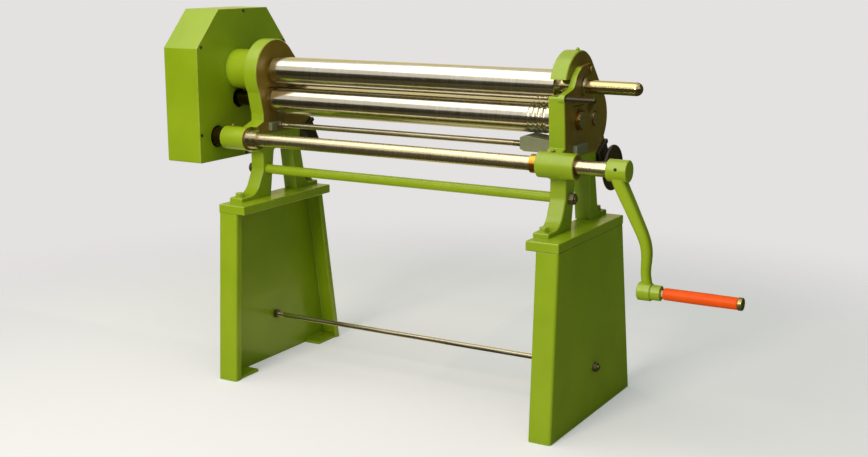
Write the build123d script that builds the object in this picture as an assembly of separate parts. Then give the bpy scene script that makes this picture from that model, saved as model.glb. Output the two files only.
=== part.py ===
from build123d import *
import math
import os

# Hand-driven three-roll bending machine on two folded stands, in millimetres.
# +X runs along the rolls towards the crank, +Y to the back, +Z up.
# The origin is on the floor, at the middle of the four anchor holes.

# Rolls
roll_d = 90.0
roll_len = 1000.0
roll_gap = 5.0
roll_end_gap = 10.0
roll_edge = 2.0
journal_d = 44.0
lower_journal_d = 48.0
rear_journal_d = 36.0
journal_stub = 3.0
lower_bush_proud = 10.0
gear_seat_d = 40.0
nose_d = 38.0
nose_reach = 189.0
nose_collar_d = 52.0
nose_collar_len = 23.0
nose_collar_gap = 1.0
nose_collar_edge = 4.0
nose_screw_d = 8.0
wire_groove_radii = (3.0, 4.0, 5.0, 6.0)
wire_groove_inset = 32.0
wire_groove_pitch = 16.0

# Fits and allowances
running = 0.05
sliding = 0.3
seat = 0.5
wedge_gap = 0.1
past = 5.0
edge = 2.0
cast_edge = 3.0

# Stands, folded from sheet
stand_overhang = 54.0
stand_height = 570.0
stand_top_front = -243.0
stand_top_rear = 230.0
stand_foot_front = -272.0
stand_foot_rear = 322.0
stand_flange = 70.0
stand_lip = 26.0
sheet_t = 5.0
fold_r = 8.0
cap_width = 100.0
cap_t = 28.0
cap_floor = 6.0
foot_plate_depth = 118.0
foot_plate_t = 8.0
anchor_hole_d = 14.0
anchor_inset_x = 38.0
anchor_spacing = 470.0
foot_plate_inset = 2.5
foot_plate_corner = 4.0

# Tie rods
lower_tie_d = 16.0
lower_tie_y = 30.0
lower_tie_z = 146.0
upper_tie_d = 30.0
upper_tie_end_d = 20.0
upper_tie_y = -50.0
upper_tie_above = 90.0
thread_stub = 5.0

# Side frames: heights are above the stand cap unless a roll is named
frame_t = 50.0
top_roll_above = 405.0
head_r = 110.0
head_y = 10.0
head_below_roll = 9.0
jaw_y = -104.0
jaw_below_roll = 27.0
jaw_root_inset = 9.0
jaw_root_rise = 24.0
apron_y = -96.0
apron_above = 292.0
apron_foot_y = -92.0
apron_foot_above = 236.0
chin_y = -90.0
chin_above = 364.0
neck_y = -67.0
neck_above = 270.0
neck_foot_above = 230.0
waist_front_y = -80.0
left_waist_y = -73.0
waist_top_above = 146.0
waist_foot_above = 90.0
waist_rear_y = 131.0
waist_rear_above = 150.0
hollow_y = 134.0
hollow_above = 195.0
foot_t = 13.0
foot_front_set = 53.0
foot_rear_set = 1.0
foot_corner = 4.0
leg_front_y = -112.0
leg_rear_y = 162.0
leg_front_r = 60.0
leg_rear_r = 36.0
bend_r = 24.0
gap_foot_front = -40.0
gap_foot_rear = 108.0
gap_apex_front = -14.0
gap_apex_rear = 82.0
gap_apex_above = 162.0
gap_corner_r = 26.0
foot_bolt_d = 16.0
foot_bolt_inset = 22.0
foot_washer_t = 3.0
shaft_boss_d = 74.0
right_boss_len = 116.0
left_boss_len = 92.0
left_boss_gap = 35.0
shaft_boss_root = 60.0
right_boss_inboard = 17.0
top_housing_d = 130.0
top_housing_len = 98.0
window_half = 40.0
window_below_roll = 96.0
window_above_roll = 42.0
slot_mouth_flare = 3.0
nipple_d = 8.0
nipple_len = 6.0
nipple_flange_t = 4.0
head_nipple_inset = 13.0

# Drive
drive_shaft_d = 42.0
drive_shaft_above = 194.0
shaft_step = 4.0
drive_module = 4.0
drive_flank_gap = 0.15
pinion_teeth = 18
main_teeth = 64
roll_gear_teeth = 19
roll_gear_width = 38.0
roll_gear_gap = 8.0
roll_addendum = 3.0
tooth_clearance = 0.6
main_gear_width = 28.0
main_hub_len = 10.0
main_hub_wall = 9.0
bush_wall = 5.0
key_side = 10.0
key_inset = 3.0
ring_t = 3.0
ring_wall = 6.0
spacer_d = 65.0
left_collar_d = 60.0
left_collar_len = 44.0
right_collar_d = 54.0
right_collar_len = 22.0

# Crank
crank_throw = 327.0
crank_hub_d = 62.0
crank_hub_len = 60.0
crank_hub_gap = 93.0
crank_hub_floor = 6.0
arm_root_place = 0.3
crank_offset = 99.0
crank_knee = 0.6
crank_knee_out = 1.0
crank_bend_r = 140.0
arm_sections = 9
arm_root_width = 46.0
arm_root_t = 36.0
arm_foot_width = 28.0
arm_foot_t = 24.0
arm_corner = 11.0
crank_boss_d = 50.0
crank_boss_len = 38.0
crank_boss_back = 19.0
crank_neck_d = 42.0
crank_neck_len = 27.0
set_screw_d = 10.0
set_screw_len = 14.0
set_screw_socket_r = 2.9
set_screw_place = 0.5
set_screw_lean = 12.0
spindle_d = 16.0
grip_d = 34.0
grip_len = 206.0
grip_edge = 3.0
end_nut_d = 35.0
end_nut_len = 12.0
end_nut_wall = 4.0
ferrule_d = 19.0
ferrule_len = 7.0

# Lower roll wedges
wedge_run_per_rise = 8.0
wedge_travel = 12.0
wedge_below_roll = 66.0
wedge_rod_d = 18.0
wedge_rod_rise = 1.0
wedge_thread = 22.0
wedge_stub = 2.0
wedge_inboard = 104.0
wedge_nose_len = 14.0
wedge_nose_drop = 6.0
wedge_nut_t = 15.0
block_head_gap = 1.0

# Rear roll adjustment
rear_roll_gap = 26.0
rear_wall = 73.0
rear_below_lower = 8.0
rear_tilt = 30.0
rear_travel = 30.0
rear_stop = 2.0
rear_block_half = 30.0
rear_block_above = 34.0
rear_block_below = 84.0
rear_boss_r = 96.0
rear_pad_half = 36.0
rear_pad_root = 40.0
rear_pad_reach = 100.0
yoke_room = 32.0
screw_d = 16.0
screw_tip_wall = 7.0
screw_to_cross_shaft = 180.0
cross_shaft_d = 20.0
cross_shaft_stub = 8.0
yoke_wall = 10.0
yoke_half_gap = 24.0
yoke_half_width = 25.0
yoke_flange_t = 12.0
yoke_bolt_d = 10.0
yoke_bolt_inset = 9.0
yoke_bolt_grip = 16.0
bevel_teeth = 12
bevel_radius = 18.0
bevel_face = 8.0
bevel_addendum = 1.8
bevel_dedendum = 2.6
bevel_backlash = 1.0
bevel_hub_r = 12.0
handwheel_d = 138.0
handwheel_rim_d = 16.0
handwheel_hub_d = 36.0
handwheel_hub_len = 26.0
handwheel_web_t = 9.0

# Gear cover, folded from sheet: heights are above or below the lower roll
cover_width = 134.0
cover_before_shaft = 89.0
cover_rear_y = 262.0
cover_below_roll = 194.0
cover_shoulder_above = 171.0
cover_above_roll = 290.0
cover_top_front_y = -93.0
cover_top_rear_y = 159.0
cover_sheet = 2.5
cover_fold_r = 3.5
cover_lip = 16.0
cover_plate_t = 3.0
cover_screw_d = 6.0
cover_screw_lift = 4.0
cover_screw_front = 19.0
cover_screw_rear = 17.0
cover_screw_rise = 90.0
housing_screw_d = 8.0
housing_screw_len = 15.0
housing_screws = 4
top_hole_gap = 6.0
lower_hole_gap = 9.0
spacer_hole_gap = 3.0

# Top roll latch: places are measured from the top roll's axis
latch_t = 18.0
latch_pivot_y = 32.0
latch_pivot_above = 47.0
latch_eye_r = 16.0
latch_pin_d = 12.0
latch_pin_depth = 30.0
latch_pin_head_t = 6.0
latch_clearance_r = 33.0
latch_crown_y = -30.0
latch_crown_above = 57.0
latch_brow_y = -60.0
latch_brow_above = 35.0
latch_neck_y = -80.0
latch_neck_above = 1.0
latch_lip_y = -136.0
latch_lip_below = 23.0
latch_lip_r = 12.0
latch_heel_below = 29.0
latch_heel_y = -70.0
latch_handle_d = 12.0
latch_handle_len = 88.0
stop_pin_d = 12.0
stop_pin_y = -54.0
stop_pin_depth = 24.0
stop_pin_inset = 3.0

# Places worked out from the sizes above
roll_r = roll_d / 2
roll_centres = roll_d + roll_gap
top_roll_z = stand_height + top_roll_above
low_roll_z = top_roll_z - roll_centres
stand_out = (roll_len + stand_overhang) / 2 + roll_end_gap + frame_t
left_out_x = -stand_out
left_in_x = left_out_x + frame_t
roll_left_x = left_in_x + roll_end_gap
roll_right_x = roll_left_x + roll_len
right_in_x = roll_right_x + roll_end_gap
right_out_x = right_in_x + frame_t
left_mid_x = left_out_x + frame_t / 2
right_mid_x = right_in_x + frame_t / 2
drive_shaft_z = stand_height + drive_shaft_above
drive_centres = drive_module * (pinion_teeth + main_teeth) / 2
drive_drop = low_roll_z - drive_shaft_z
drive_shaft_y = -math.sqrt(drive_centres ** 2 - drive_drop ** 2)
cover_front_y = drive_shaft_y - cover_before_shaft
upper_tie_z = stand_height + upper_tie_above
plate_x = left_out_x - top_housing_len
cover_in_x = plate_x - cover_plate_t
cover_out_x = cover_in_x - cover_width
roll_gear_x = cover_in_x - roll_gear_gap
roll_gear_end = roll_gear_x - roll_gear_width
main_gear_x = roll_gear_end - main_hub_len
main_gear_end = main_gear_x - main_gear_width
left_boss_x0 = plate_x + left_boss_gap
left_boss_x1 = left_boss_x0 + left_boss_len
right_boss_x0 = right_in_x - right_boss_inboard
right_boss_x1 = right_boss_x0 + right_boss_len
hub_in_x = right_boss_x1 + crank_hub_gap
hub_out_x = hub_in_x + crank_hub_len
arm_x = hub_in_x + crank_hub_len * arm_root_place
crank_boss_x = arm_x + crank_offset
crank_end_z = drive_shaft_z - crank_throw
wedge_slope = 1 / wedge_run_per_rise
lift = wedge_travel * wedge_slope
window_floor_z = low_roll_z - window_below_roll
window_top_z = low_roll_z + window_above_roll
rear_roll_y = max(roll_d + rear_roll_gap, window_half + rear_wall)
rear_roll_z = low_roll_z - rear_below_lower
tilt = math.radians(rear_tilt)
lift_dir = Vector(0, -math.sin(tilt), math.cos(tilt))
across_dir = Vector(0, math.cos(tilt), math.sin(tilt))
collar_in_x = right_out_x + nose_collar_gap
latch_x0 = right_out_x + seat
latch_x1 = latch_x0 + latch_t
latch_pivot_z = top_roll_z + latch_pivot_above
latch_lip_z = top_roll_z - latch_lip_below
stop_pin_z = top_roll_z - latch_heel_below - stop_pin_d / 2 - sliding
foot_front_y = stand_top_front + foot_front_set
foot_rear_y = stand_top_rear - foot_rear_set
foot_bolt_ys = (foot_front_y + foot_bolt_inset, foot_rear_y - foot_bolt_inset)
yoke_bolts_at = (yoke_bolt_inset - rear_pad_half, rear_pad_half - yoke_bolt_inset)
shaft_bush_r = drive_shaft_d / 2 + bush_wall
pinion_seat_r = drive_shaft_d / 2 - shaft_step
top_bush_r = journal_d / 2 + bush_wall
gear_seat_r = gear_seat_d / 2

os.makedirs("parts", exist_ok=True)


def keep(name, *pieces):
    """Writes one piece, or a group of like pieces, under its node name."""
    solids = [solid for piece in pieces for solid in piece.solids()]
    if len(solids) == 1:
        export_step(solids[0], f"parts/{name}.step")
    else:
        export_step(Compound(children=solids), f"parts/{name}.step")


def rod(radius, x0, x1, y, z):
    """A round bar along X."""
    return Pos((x0 + x1) / 2, y, z) * Rot(0, 90, 0) * Cylinder(radius, abs(x1 - x0))


def eased_rod(radius, x0, x1, y, z, corner):
    """A round bar along X with both end corners taken off."""
    bar = rod(radius, x0, x1, y, z)
    return chamfer(bar.edges().filter_by(GeomType.CIRCLE), corner)


def drill(radius, x0, x1, y, z):
    """What a hole along X takes away, a little longer than the hole."""
    return rod(radius, min(x0, x1) - past, max(x0, x1) + past, y, z)


def tube(outer_r, inner_r, x0, x1, y, z):
    """A round sleeve along X."""
    return rod(outer_r, x0, x1, y, z) - drill(inner_r, x0, x1, y, z)


def block(x0, x1, y0, y1, z0, z1):
    """A box given by two opposite corners."""
    middle = Pos((x0 + x1) / 2, (y0 + y1) / 2, (z0 + z1) / 2)
    return middle * Box(abs(x1 - x0), abs(y1 - y0), abs(z1 - z0))


def plate(outline, x0, x1):
    """Thickens an outline drawn in (Y, Z) from x0 to x1."""
    start = Plane(origin=(min(x0, x1), 0, 0), x_dir=(0, 1, 0), z_dir=(1, 0, 0))
    return extrude(start * outline, abs(x1 - x0))


def outline_of(points):
    return make_face(Polyline(*points, close=True))


def rounded_outline(corners):
    """A closed outline from (first, second, corner radius) triples."""
    points = [(first, second) for first, second, radius in corners]
    radii = [radius for first, second, radius in corners]
    return make_face(FilletPolyline(*points, radius=radii, close=True))


def disc(radius, y, z):
    return Pos(y, z) * Circle(radius)


def hexagon(across_flats):
    return RegularPolygon(across_flats / 2, 6, major_radius=False)


def nut(bore_d, x0, x1, y, z):
    """A hexagon nut on a rod along X, one and a half bores wide, with its corners turned off."""
    across_flats = bore_d * 1.5
    body = plate(Pos(y, z) * hexagon(across_flats), x0, x1)
    turned = eased_rod(across_flats * 0.58, x0, x1, y, z, edge)
    return (body & turned) - drill(bore_d / 2, x0, x1, y, z)


def hex_screw(shank_d, shank_len):
    """A hexagon-headed screw that points down from the origin."""
    across_flats = shank_d * 1.5
    head_t = shank_d * 0.65
    head = extrude(hexagon(across_flats), head_t)
    turned = Pos(0, 0, head_t / 2) * Cylinder(across_flats * 0.58, head_t)
    head = head & chamfer(turned.edges().sort_by(Axis.Z)[-1], edge)
    return head + Pos(0, 0, -shank_len / 2) * Cylinder(shank_d / 2, shank_len)


def round_screw(shank_d, shank_len, x, y, z, way):
    """A round-headed screw along X with its head on x. way is +1 for a head on the +X side."""
    head = rod(shank_d * 0.85, x, x + way * shank_d * 0.5, y, z)
    return head + rod(shank_d / 2, x, x - way * shank_len, y, z)


# Stands: one folded channel each, with its web outboard and its flanges turned in and lipped.
def channel_outline(inset):
    """The stand's side outline, with its two slanting edges moved in by inset."""
    top_z = stand_height - cap_t
    return outline_of([(stand_foot_front + inset, 0), (stand_foot_rear - inset, 0),
                       (stand_top_rear - inset, top_z), (stand_top_front + inset, top_z)])


def folded(solid, radius):
    """Rounds the four slanting folds of a channel."""
    steep = [line for line in solid.edges() if abs(line.tangent_at(0.5).Z) > 0.5]
    return fillet(steep, radius)


def stand(side):
    web_x = side * stand_out
    mouth_x = side * (stand_out - stand_flange)
    inner_web_x = web_x - side * sheet_t
    inner_mouth_x = mouth_x + side * sheet_t
    outside = folded(plate(channel_outline(0), web_x, mouth_x), fold_r)
    inside = folded(plate(channel_outline(sheet_t), inner_web_x, inner_mouth_x), fold_r - sheet_t)
    mouth = plate(channel_outline(stand_lip), inner_mouth_x + side, mouth_x - side)
    return outside - inside - mouth - drill(lower_tie_d / 2, web_x, inner_web_x, lower_tie_y, lower_tie_z)


def foot_plate(side, flange_y, way):
    """A plate inside one lower corner of a stand. way is +1 or -1, from that flange into the stand."""
    edge_y = flange_y + way * (sheet_t + foot_plate_inset)
    flat = block(side * (stand_out - sheet_t), side * (stand_out - stand_flange + sheet_t),
                 edge_y, edge_y + way * foot_plate_depth, 0, foot_plate_t)
    flat = chamfer(flat.edges().filter_by(Axis.Z), foot_plate_corner)
    anchor_x = side * (stand_out - anchor_inset_x)
    return flat - Pos(anchor_x, -way * anchor_spacing / 2, 0) * Cylinder(anchor_hole_d / 2, foot_plate_t * 3)


def stand_cap(side, bolt_x):
    """The thick bar across the top of a stand, tapped from above for the side frame's bolts."""
    bar = block(side * stand_out, side * (stand_out - cap_width), stand_top_front, stand_top_rear,
                stand_height - cap_t, stand_height)
    bar = chamfer(bar.edges(), edge)
    for y in foot_bolt_ys:
        bar -= Pos(bolt_x, y, stand_height + cap_floor) * Cylinder(foot_bolt_d / 2, 2 * cap_t)
    return bar


keep("left_stand", stand(-1))
keep("right_stand", stand(1))
keep("foot_plates",
     foot_plate(-1, stand_foot_front, 1), foot_plate(-1, stand_foot_rear, -1),
     foot_plate(1, stand_foot_front, 1), foot_plate(1, stand_foot_rear, -1))
keep("stand_caps", stand_cap(-1, left_mid_x), stand_cap(1, right_mid_x))

# Lower tie rod, with a nut on each side of both webs.
tie_nut_t = lower_tie_d * 0.8
tie_end_x = stand_out + tie_nut_t + thread_stub
keep("lower_tie_rod", eased_rod(lower_tie_d / 2, -tie_end_x, tie_end_x, lower_tie_y, lower_tie_z, edge))
lower_tie_nuts = []
for side in (-1, 1):
    outer_face = side * stand_out
    inner_face = side * (stand_out - sheet_t)
    outer_end = outer_face + side * tie_nut_t
    inner_end = inner_face - side * tie_nut_t
    lower_tie_nuts.append(nut(lower_tie_d, outer_face, outer_end, lower_tie_y, lower_tie_z))
    lower_tie_nuts.append(nut(lower_tie_d, inner_face, inner_end, lower_tie_y, lower_tie_z))
keep("lower_tie_nuts", *lower_tie_nuts)


# Side frames: thick castings with two legs, a round head and a bulge behind for the rear roll.
def beside_screw(across, reach):
    """A (Y, Z) point near the rear roll: across its travel, then reach down the adjusting screw."""
    point = Vector(0, rear_roll_y, rear_roll_z) + across_dir * across - lift_dir * reach
    return point.Y, point.Z


def along_screw(half, reach0, reach1):
    """A rectangle in (Y, Z) that lies along the rear roll's travel."""
    return outline_of([beside_screw(-half, reach0), beside_screw(half, reach0),
                       beside_screw(half, reach1), beside_screw(-half, reach1)])


def down_screw(mid_x, across, reach):
    """A plane whose normal points down the adjusting screw and whose own X runs along the machine."""
    return Plane(origin=(mid_x, *beside_screw(across, reach)), x_dir=(1, 0, 0), z_dir=-lift_dir)


def screw_rod(mid_x, radius, reach0, reach1):
    return down_screw(mid_x, 0, (reach0 + reach1) / 2) * Cylinder(radius, reach1 - reach0)


head_z = top_roll_z - head_below_roll
foot_top_z = stand_height + foot_t
right_front = [
    (head_y - head_r + jaw_root_inset, head_z + jaw_root_rise, cast_edge),
    (jaw_y, top_roll_z - jaw_below_roll, cast_edge * 2),
    (apron_y, stand_height + apron_above, bend_r), (apron_foot_y, stand_height + apron_foot_above, bend_r),
    (waist_front_y, stand_height + waist_top_above, bend_r),
    (waist_front_y, stand_height + waist_foot_above, bend_r)]
left_front = [
    (chin_y, stand_height + chin_above, cast_edge * 2), (neck_y, stand_height + neck_above, bend_r),
    (neck_y, stand_height + neck_foot_above, bend_r), (left_waist_y, stand_height + waist_top_above, bend_r),
    (left_waist_y, stand_height + waist_foot_above, bend_r)]


def frame_outline(front):
    """The casting's side outline. front lists its front corners from the head down to the waist."""
    bulge = disc(rear_boss_r, rear_roll_y, rear_roll_z)
    crown = make_hull(disc(head_r, head_y, head_z).edges() + bulge.edges())
    sunk_z = stand_height - foot_t
    column = rounded_outline(front + [
        (leg_front_y, foot_top_z, leg_front_r), (foot_front_y, foot_top_z, foot_corner),
        (foot_front_y, sunk_z, foot_corner), (foot_rear_y, sunk_z, foot_corner),
        (foot_rear_y, foot_top_z, foot_corner), (leg_rear_y, foot_top_z, leg_rear_r),
        (waist_rear_y, stand_height + waist_rear_above, leg_front_r),
        (hollow_y, stand_height + hollow_above, bend_r), (rear_roll_y, rear_roll_z, cast_edge),
        (head_y, head_z, cast_edge)])
    boss_r = shaft_boss_d / 2
    inside_boss = boss_r - edge
    fairing = outline_of([
        (drive_shaft_y, drive_shaft_z + inside_boss), (upper_tie_y, drive_shaft_z + shaft_boss_root),
        (upper_tie_y, drive_shaft_z - shaft_boss_root), (drive_shaft_y, drive_shaft_z - inside_boss)])
    pad = along_screw(rear_pad_half, rear_pad_root, rear_pad_reach)
    return crown + column + fairing + disc(boss_r, drive_shaft_y, drive_shaft_z) + pad


def frame_openings():
    """The gap between the legs, the lower roll's window, the rear roll's slot and the yoke's seat."""
    apex_z = stand_height + gap_apex_above
    legs = rounded_outline([
        (gap_foot_front, stand_height - foot_t, cast_edge), (gap_apex_front, apex_z, gap_corner_r),
        (gap_apex_rear, apex_z, gap_corner_r), (gap_foot_rear, stand_height - foot_t, cast_edge)])
    window = outline_of([(-window_half, window_floor_z), (window_half, window_floor_z),
                         (window_half, window_top_z), (-window_half, window_top_z)])
    slide = along_screw(rear_block_half + sliding, -rear_block_above - rear_travel - rear_stop,
                        rear_block_below + rear_stop)
    yoke_seat = along_screw(rear_pad_half + edge, rear_pad_reach, rear_pad_reach + yoke_room)
    return legs + window + slide + yoke_seat


def rim(solid, x0, x1):
    """The edges of a plate's two flat faces."""
    across = Axis.X
    return solid.edges().filter_by_position(across, x0, x0) + solid.edges().filter_by_position(across, x1, x1)


def side_frame(front, x0, x1, boss_x0, boss_x1):
    mid_x = (x0 + x1) / 2
    body = plate(frame_outline(front), x0, x1)
    body = chamfer(rim(body, x0, x1), cast_edge)
    body -= block(x0 - past, x1 + past, foot_front_y - past, foot_rear_y + past, 0, stand_height)
    body -= plate(frame_openings(), x0 - past, x1 + past)
    if boss_x1 < x1:
        body -= rod(shaft_boss_d / 2 + edge, boss_x1, x1 + past, drive_shaft_y, drive_shaft_z)
    body += eased_rod(shaft_boss_d / 2, boss_x0, boss_x1, drive_shaft_y, drive_shaft_z, edge)
    body -= drill(shaft_bush_r, boss_x0, boss_x1, drive_shaft_y, drive_shaft_z)
    body -= drill(upper_tie_end_d / 2, x0, x1, upper_tie_y, upper_tie_z)
    for y in foot_bolt_ys:
        body -= Pos(mid_x, y, stand_height) * Cylinder(foot_bolt_d / 2, 3 * foot_t)
    body -= screw_rod(mid_x, screw_d / 2 + seat, rear_block_below, rear_pad_reach + past)
    for across in yoke_bolts_at:
        tapped = down_screw(mid_x, across, rear_pad_reach - yoke_bolt_grip / 2)
        body -= tapped * Cylinder(yoke_bolt_d / 2, yoke_bolt_grip)
    return body


def boss_oil_place(x):
    return Pos(x, drive_shaft_y, drive_shaft_z + shaft_boss_d / 2)


nipple_flange_r = nipple_d * 0.75


def nipple_hole(place):
    """A tapped hole, with a flat for the flange where the casting rises beside it."""
    flat = place * Pos(0, 0, nipple_flange_t) * Cylinder(nipple_flange_r + sliding, 2 * nipple_flange_t)
    return flat + place * Cylinder(nipple_d / 2, nipple_len * 2)


def nipple(place):
    stem = place * Pos(0, 0, -nipple_len / 2) * Cylinder(nipple_d / 2, nipple_len)
    flange = place * Pos(0, 0, nipple_flange_t / 2) * Cylinder(nipple_flange_r, nipple_flange_t)
    return stem + flange + place * Pos(0, 0, nipple_flange_t) * Sphere(nipple_d / 2)


left_oil_places = [boss_oil_place((plate_x + left_boss_x1) / 2)]
right_oil_places = [boss_oil_place(right_mid_x)]
right_oil_places.append(Pos(right_out_x - head_nipple_inset, head_y, head_z + head_r))
left_frame = side_frame(left_front, left_out_x, left_in_x, left_boss_x0, left_boss_x1)
left_frame += rod(top_housing_d / 2, left_out_x, plate_x, 0, top_roll_z)
left_frame -= drill(top_bush_r, left_in_x, plate_x, 0, top_roll_z)
for place in left_oil_places:
    left_frame -= nipple_hole(place)
housing_screw_ring = (top_housing_d / 2 + top_bush_r) / 2
housing_screws_at = []
for place in range(housing_screws):
    turn = 2 * math.pi * (place + 0.5) / housing_screws
    y = housing_screw_ring * math.cos(turn)
    z = top_roll_z + housing_screw_ring * math.sin(turn)
    housing_screws_at.append((y, z))
for y, z in housing_screws_at:
    left_frame -= rod(housing_screw_d / 2, plate_x - past, plate_x + housing_screw_len, y, z)

right_frame = side_frame(right_front, right_in_x, right_out_x, right_boss_x0, right_boss_x1)
slot_r = journal_d / 2 + running
slot_mouth_y = head_y - 2 * head_r
slot_low_z = top_roll_z - slot_r
slot_high_z = top_roll_z + slot_r
slot = outline_of([(0, slot_low_z), (0, slot_high_z),
                   (slot_mouth_y, slot_high_z + 2 * slot_mouth_flare), (slot_mouth_y, slot_low_z)])
right_frame -= plate(slot + disc(slot_r, 0, top_roll_z), right_in_x - past, right_out_x + past)
latch_pin_x = right_out_x - latch_pin_depth
stop_pin_x = right_out_x - stop_pin_depth
right_frame -= rod(latch_pin_d / 2, latch_pin_x, right_out_x + past, latch_pivot_y, latch_pivot_z)
right_frame -= rod(stop_pin_d / 2, stop_pin_x, right_out_x + past, stop_pin_y, stop_pin_z)
for place in right_oil_places:
    right_frame -= nipple_hole(place)
keep("left_side_frame", left_frame)
keep("right_side_frame", right_frame)
keep("oil_nipples", *[nipple(place) for place in left_oil_places + right_oil_places])

# Bolts that hold the frames' feet on the stand caps.
foot_bolts = []
foot_washers = []
foot_bolt_len = foot_washer_t + foot_t + cap_t - 2 * cap_floor
for x in (left_mid_x, right_mid_x):
    for y in foot_bolt_ys:
        washer = Pos(x, y, foot_top_z + foot_washer_t / 2) * Cylinder(foot_bolt_d * 0.95, foot_washer_t)
        foot_washers.append(washer - Pos(x, y, foot_top_z) * Cylinder(foot_bolt_d / 2, foot_t))
        foot_bolts.append(Pos(x, y, foot_top_z + foot_washer_t) * hex_screw(foot_bolt_d, foot_bolt_len))
keep("frame_foot_bolts", *foot_bolts)
keep("frame_foot_washers", *foot_washers)

# Upper tie rod between the frames, shouldered, with a nut outside each frame.
upper_nut_t = upper_tie_end_d * 0.8
tie_x0 = left_out_x - upper_nut_t - thread_stub
tie_x1 = right_out_x + upper_nut_t + thread_stub
upper_tie = rod(upper_tie_d / 2, left_in_x, right_in_x, upper_tie_y, upper_tie_z)
upper_tie += eased_rod(upper_tie_end_d / 2, tie_x0, tie_x1, upper_tie_y, upper_tie_z, edge)
keep("upper_tie_rod", upper_tie)
keep("upper_tie_nuts",
     nut(upper_tie_end_d, left_out_x - upper_nut_t, left_out_x, upper_tie_y, upper_tie_z),
     nut(upper_tie_end_d, right_out_x, right_out_x + upper_nut_t, upper_tie_y, upper_tie_z))

# Bronze bushes that stay in the frames.
shaft_hole_r = drive_shaft_d / 2 + running
keep("drive_shaft_bushes",
     tube(shaft_bush_r, shaft_hole_r, left_boss_x0, left_boss_x1, drive_shaft_y, drive_shaft_z),
     tube(shaft_bush_r, shaft_hole_r, right_boss_x0, right_boss_x1, drive_shaft_y, drive_shaft_z))
keep("top_roll_bush", tube(top_bush_r, journal_d / 2 + running, plate_x, left_in_x, 0, top_roll_z))

# Gear cover: a folded shell screwed to a back plate that is held on the top roll's housing.
cover_bottom_z = low_roll_z - cover_below_roll
cover_shoulder_z = low_roll_z + cover_shoulder_above
cover_top_z = low_roll_z + cover_above_roll
cover_sharp = outline_of([
    (cover_front_y, cover_bottom_z), (cover_rear_y, cover_bottom_z), (cover_rear_y, cover_shoulder_z),
    (cover_top_rear_y, cover_top_z), (cover_top_front_y, cover_top_z), (cover_front_y, cover_shoulder_z)])


def bent_box(face, radius, x0, x1):
    """A block with that outline, whose folds round its sides and its far face are rounded."""
    box = plate(fillet(face.vertices(), radius), x0, x1)
    return fillet(box.edges().filter_by_position(Axis.X, x0, x0), radius)


cover_inner = offset(cover_sharp, -cover_sheet, kind=Kind.INTERSECTION)
cover_mouth = offset(cover_sharp, -cover_lip, kind=Kind.INTERSECTION)
shell = bent_box(cover_sharp, cover_fold_r, cover_out_x, cover_in_x)
shell -= bent_box(cover_inner, cover_fold_r - cover_sheet,
                  cover_out_x + cover_sheet, cover_in_x - cover_sheet)
shell -= plate(cover_mouth, cover_in_x - 2 * cover_sheet, cover_in_x + past)
back_plate = plate(fillet(cover_sharp.vertices(), cover_fold_r), cover_in_x, plate_x)
back_plate -= drill(journal_d / 2 + top_hole_gap, cover_in_x, plate_x, 0, top_roll_z)
back_plate -= drill(lower_journal_d / 2 + lower_hole_gap, cover_in_x, plate_x, 0, low_roll_z)
back_plate -= drill(spacer_d / 2 + spacer_hole_gap, cover_in_x, plate_x, drive_shaft_y, drive_shaft_z)
lip_middle = cover_lip / 2
cover_screws_at = [
    ((cover_top_front_y + cover_top_rear_y) / 2, cover_top_z - lip_middle),
    ((cover_front_y + cover_rear_y) / 2, cover_bottom_z + lip_middle)]
for y in (cover_front_y + cover_screw_front, cover_rear_y - cover_screw_rear):
    cover_screws_at.append((y, cover_shoulder_z + cover_screw_lift))
for y in (cover_front_y + lip_middle, cover_rear_y - lip_middle):
    cover_screws_at.append((y, cover_bottom_z + cover_screw_rise))
cover_screws = []
for y, z in cover_screws_at:
    shell -= rod(cover_screw_d / 2, cover_in_x - 2 * cover_sheet, cover_in_x + past, y, z)
    back_plate -= drill(cover_screw_d / 2, cover_in_x, plate_x, y, z)
    cover_screws.append(round_screw(cover_screw_d, cover_plate_t + 2 * cover_sheet, plate_x, y, z, 1))
plate_screws = []
for y, z in housing_screws_at:
    back_plate -= drill(housing_screw_d / 2, cover_in_x, plate_x, y, z)
    plate_screws.append(round_screw(housing_screw_d, housing_screw_len, cover_in_x, y, z, -1))
keep("gear_cover_shell", shell)
keep("gear_cover_plate", back_plate)
keep("gear_cover_screws", *cover_screws)
keep("cover_plate_screws", *plate_screws)

# Gears. A tooth of the lower roll's gears points along each line of centres, where the mate has a gap.
pressure_angle = math.radians(20)


def gear_outline(teeth, pitch_r, addendum, dedendum, backlash, turn):
    """Spur teeth with straight flanks through involute points. turn is where one tooth points."""
    base_r = pitch_r * math.cos(pressure_angle)
    involute_at_pitch = math.tan(pressure_angle) - pressure_angle
    half_tooth = math.pi / (2 * teeth) - backlash / (4 * pitch_r)

    def half_angle(radius):
        lean = math.acos(min(1.0, base_r / radius))
        return half_tooth + involute_at_pitch - (math.tan(lean) - lean)

    root_r = pitch_r - dedendum
    radii = sorted({root_r, max(root_r + dedendum / 3, base_r), pitch_r, pitch_r + addendum})
    points = []
    for tooth in range(teeth):
        middle = turn + 2 * math.pi * tooth / teeth
        flanks = [(radius, middle - half_angle(radius)) for radius in radii]
        flanks += [(radius, middle + half_angle(radius)) for radius in reversed(radii)]
        points += [(radius * math.cos(angle), radius * math.sin(angle)) for radius, angle in flanks]
    return outline_of(points)


def spur_gear(teeth_outline, x0, x1, y, z, bore_r):
    return plate(Pos(y, z) * teeth_outline, x0, x1) - drill(bore_r, x0, x1, y, z)


def key(x0, x1, y, z, shaft_r):
    """A square key half sunk in the top of a shaft, a little short of the gears at both ends."""
    half = key_side / 2
    return block(x0 - key_inset, x1 + key_inset, y - half, y + half, z + shaft_r - half, z + shaft_r + half)


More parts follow.
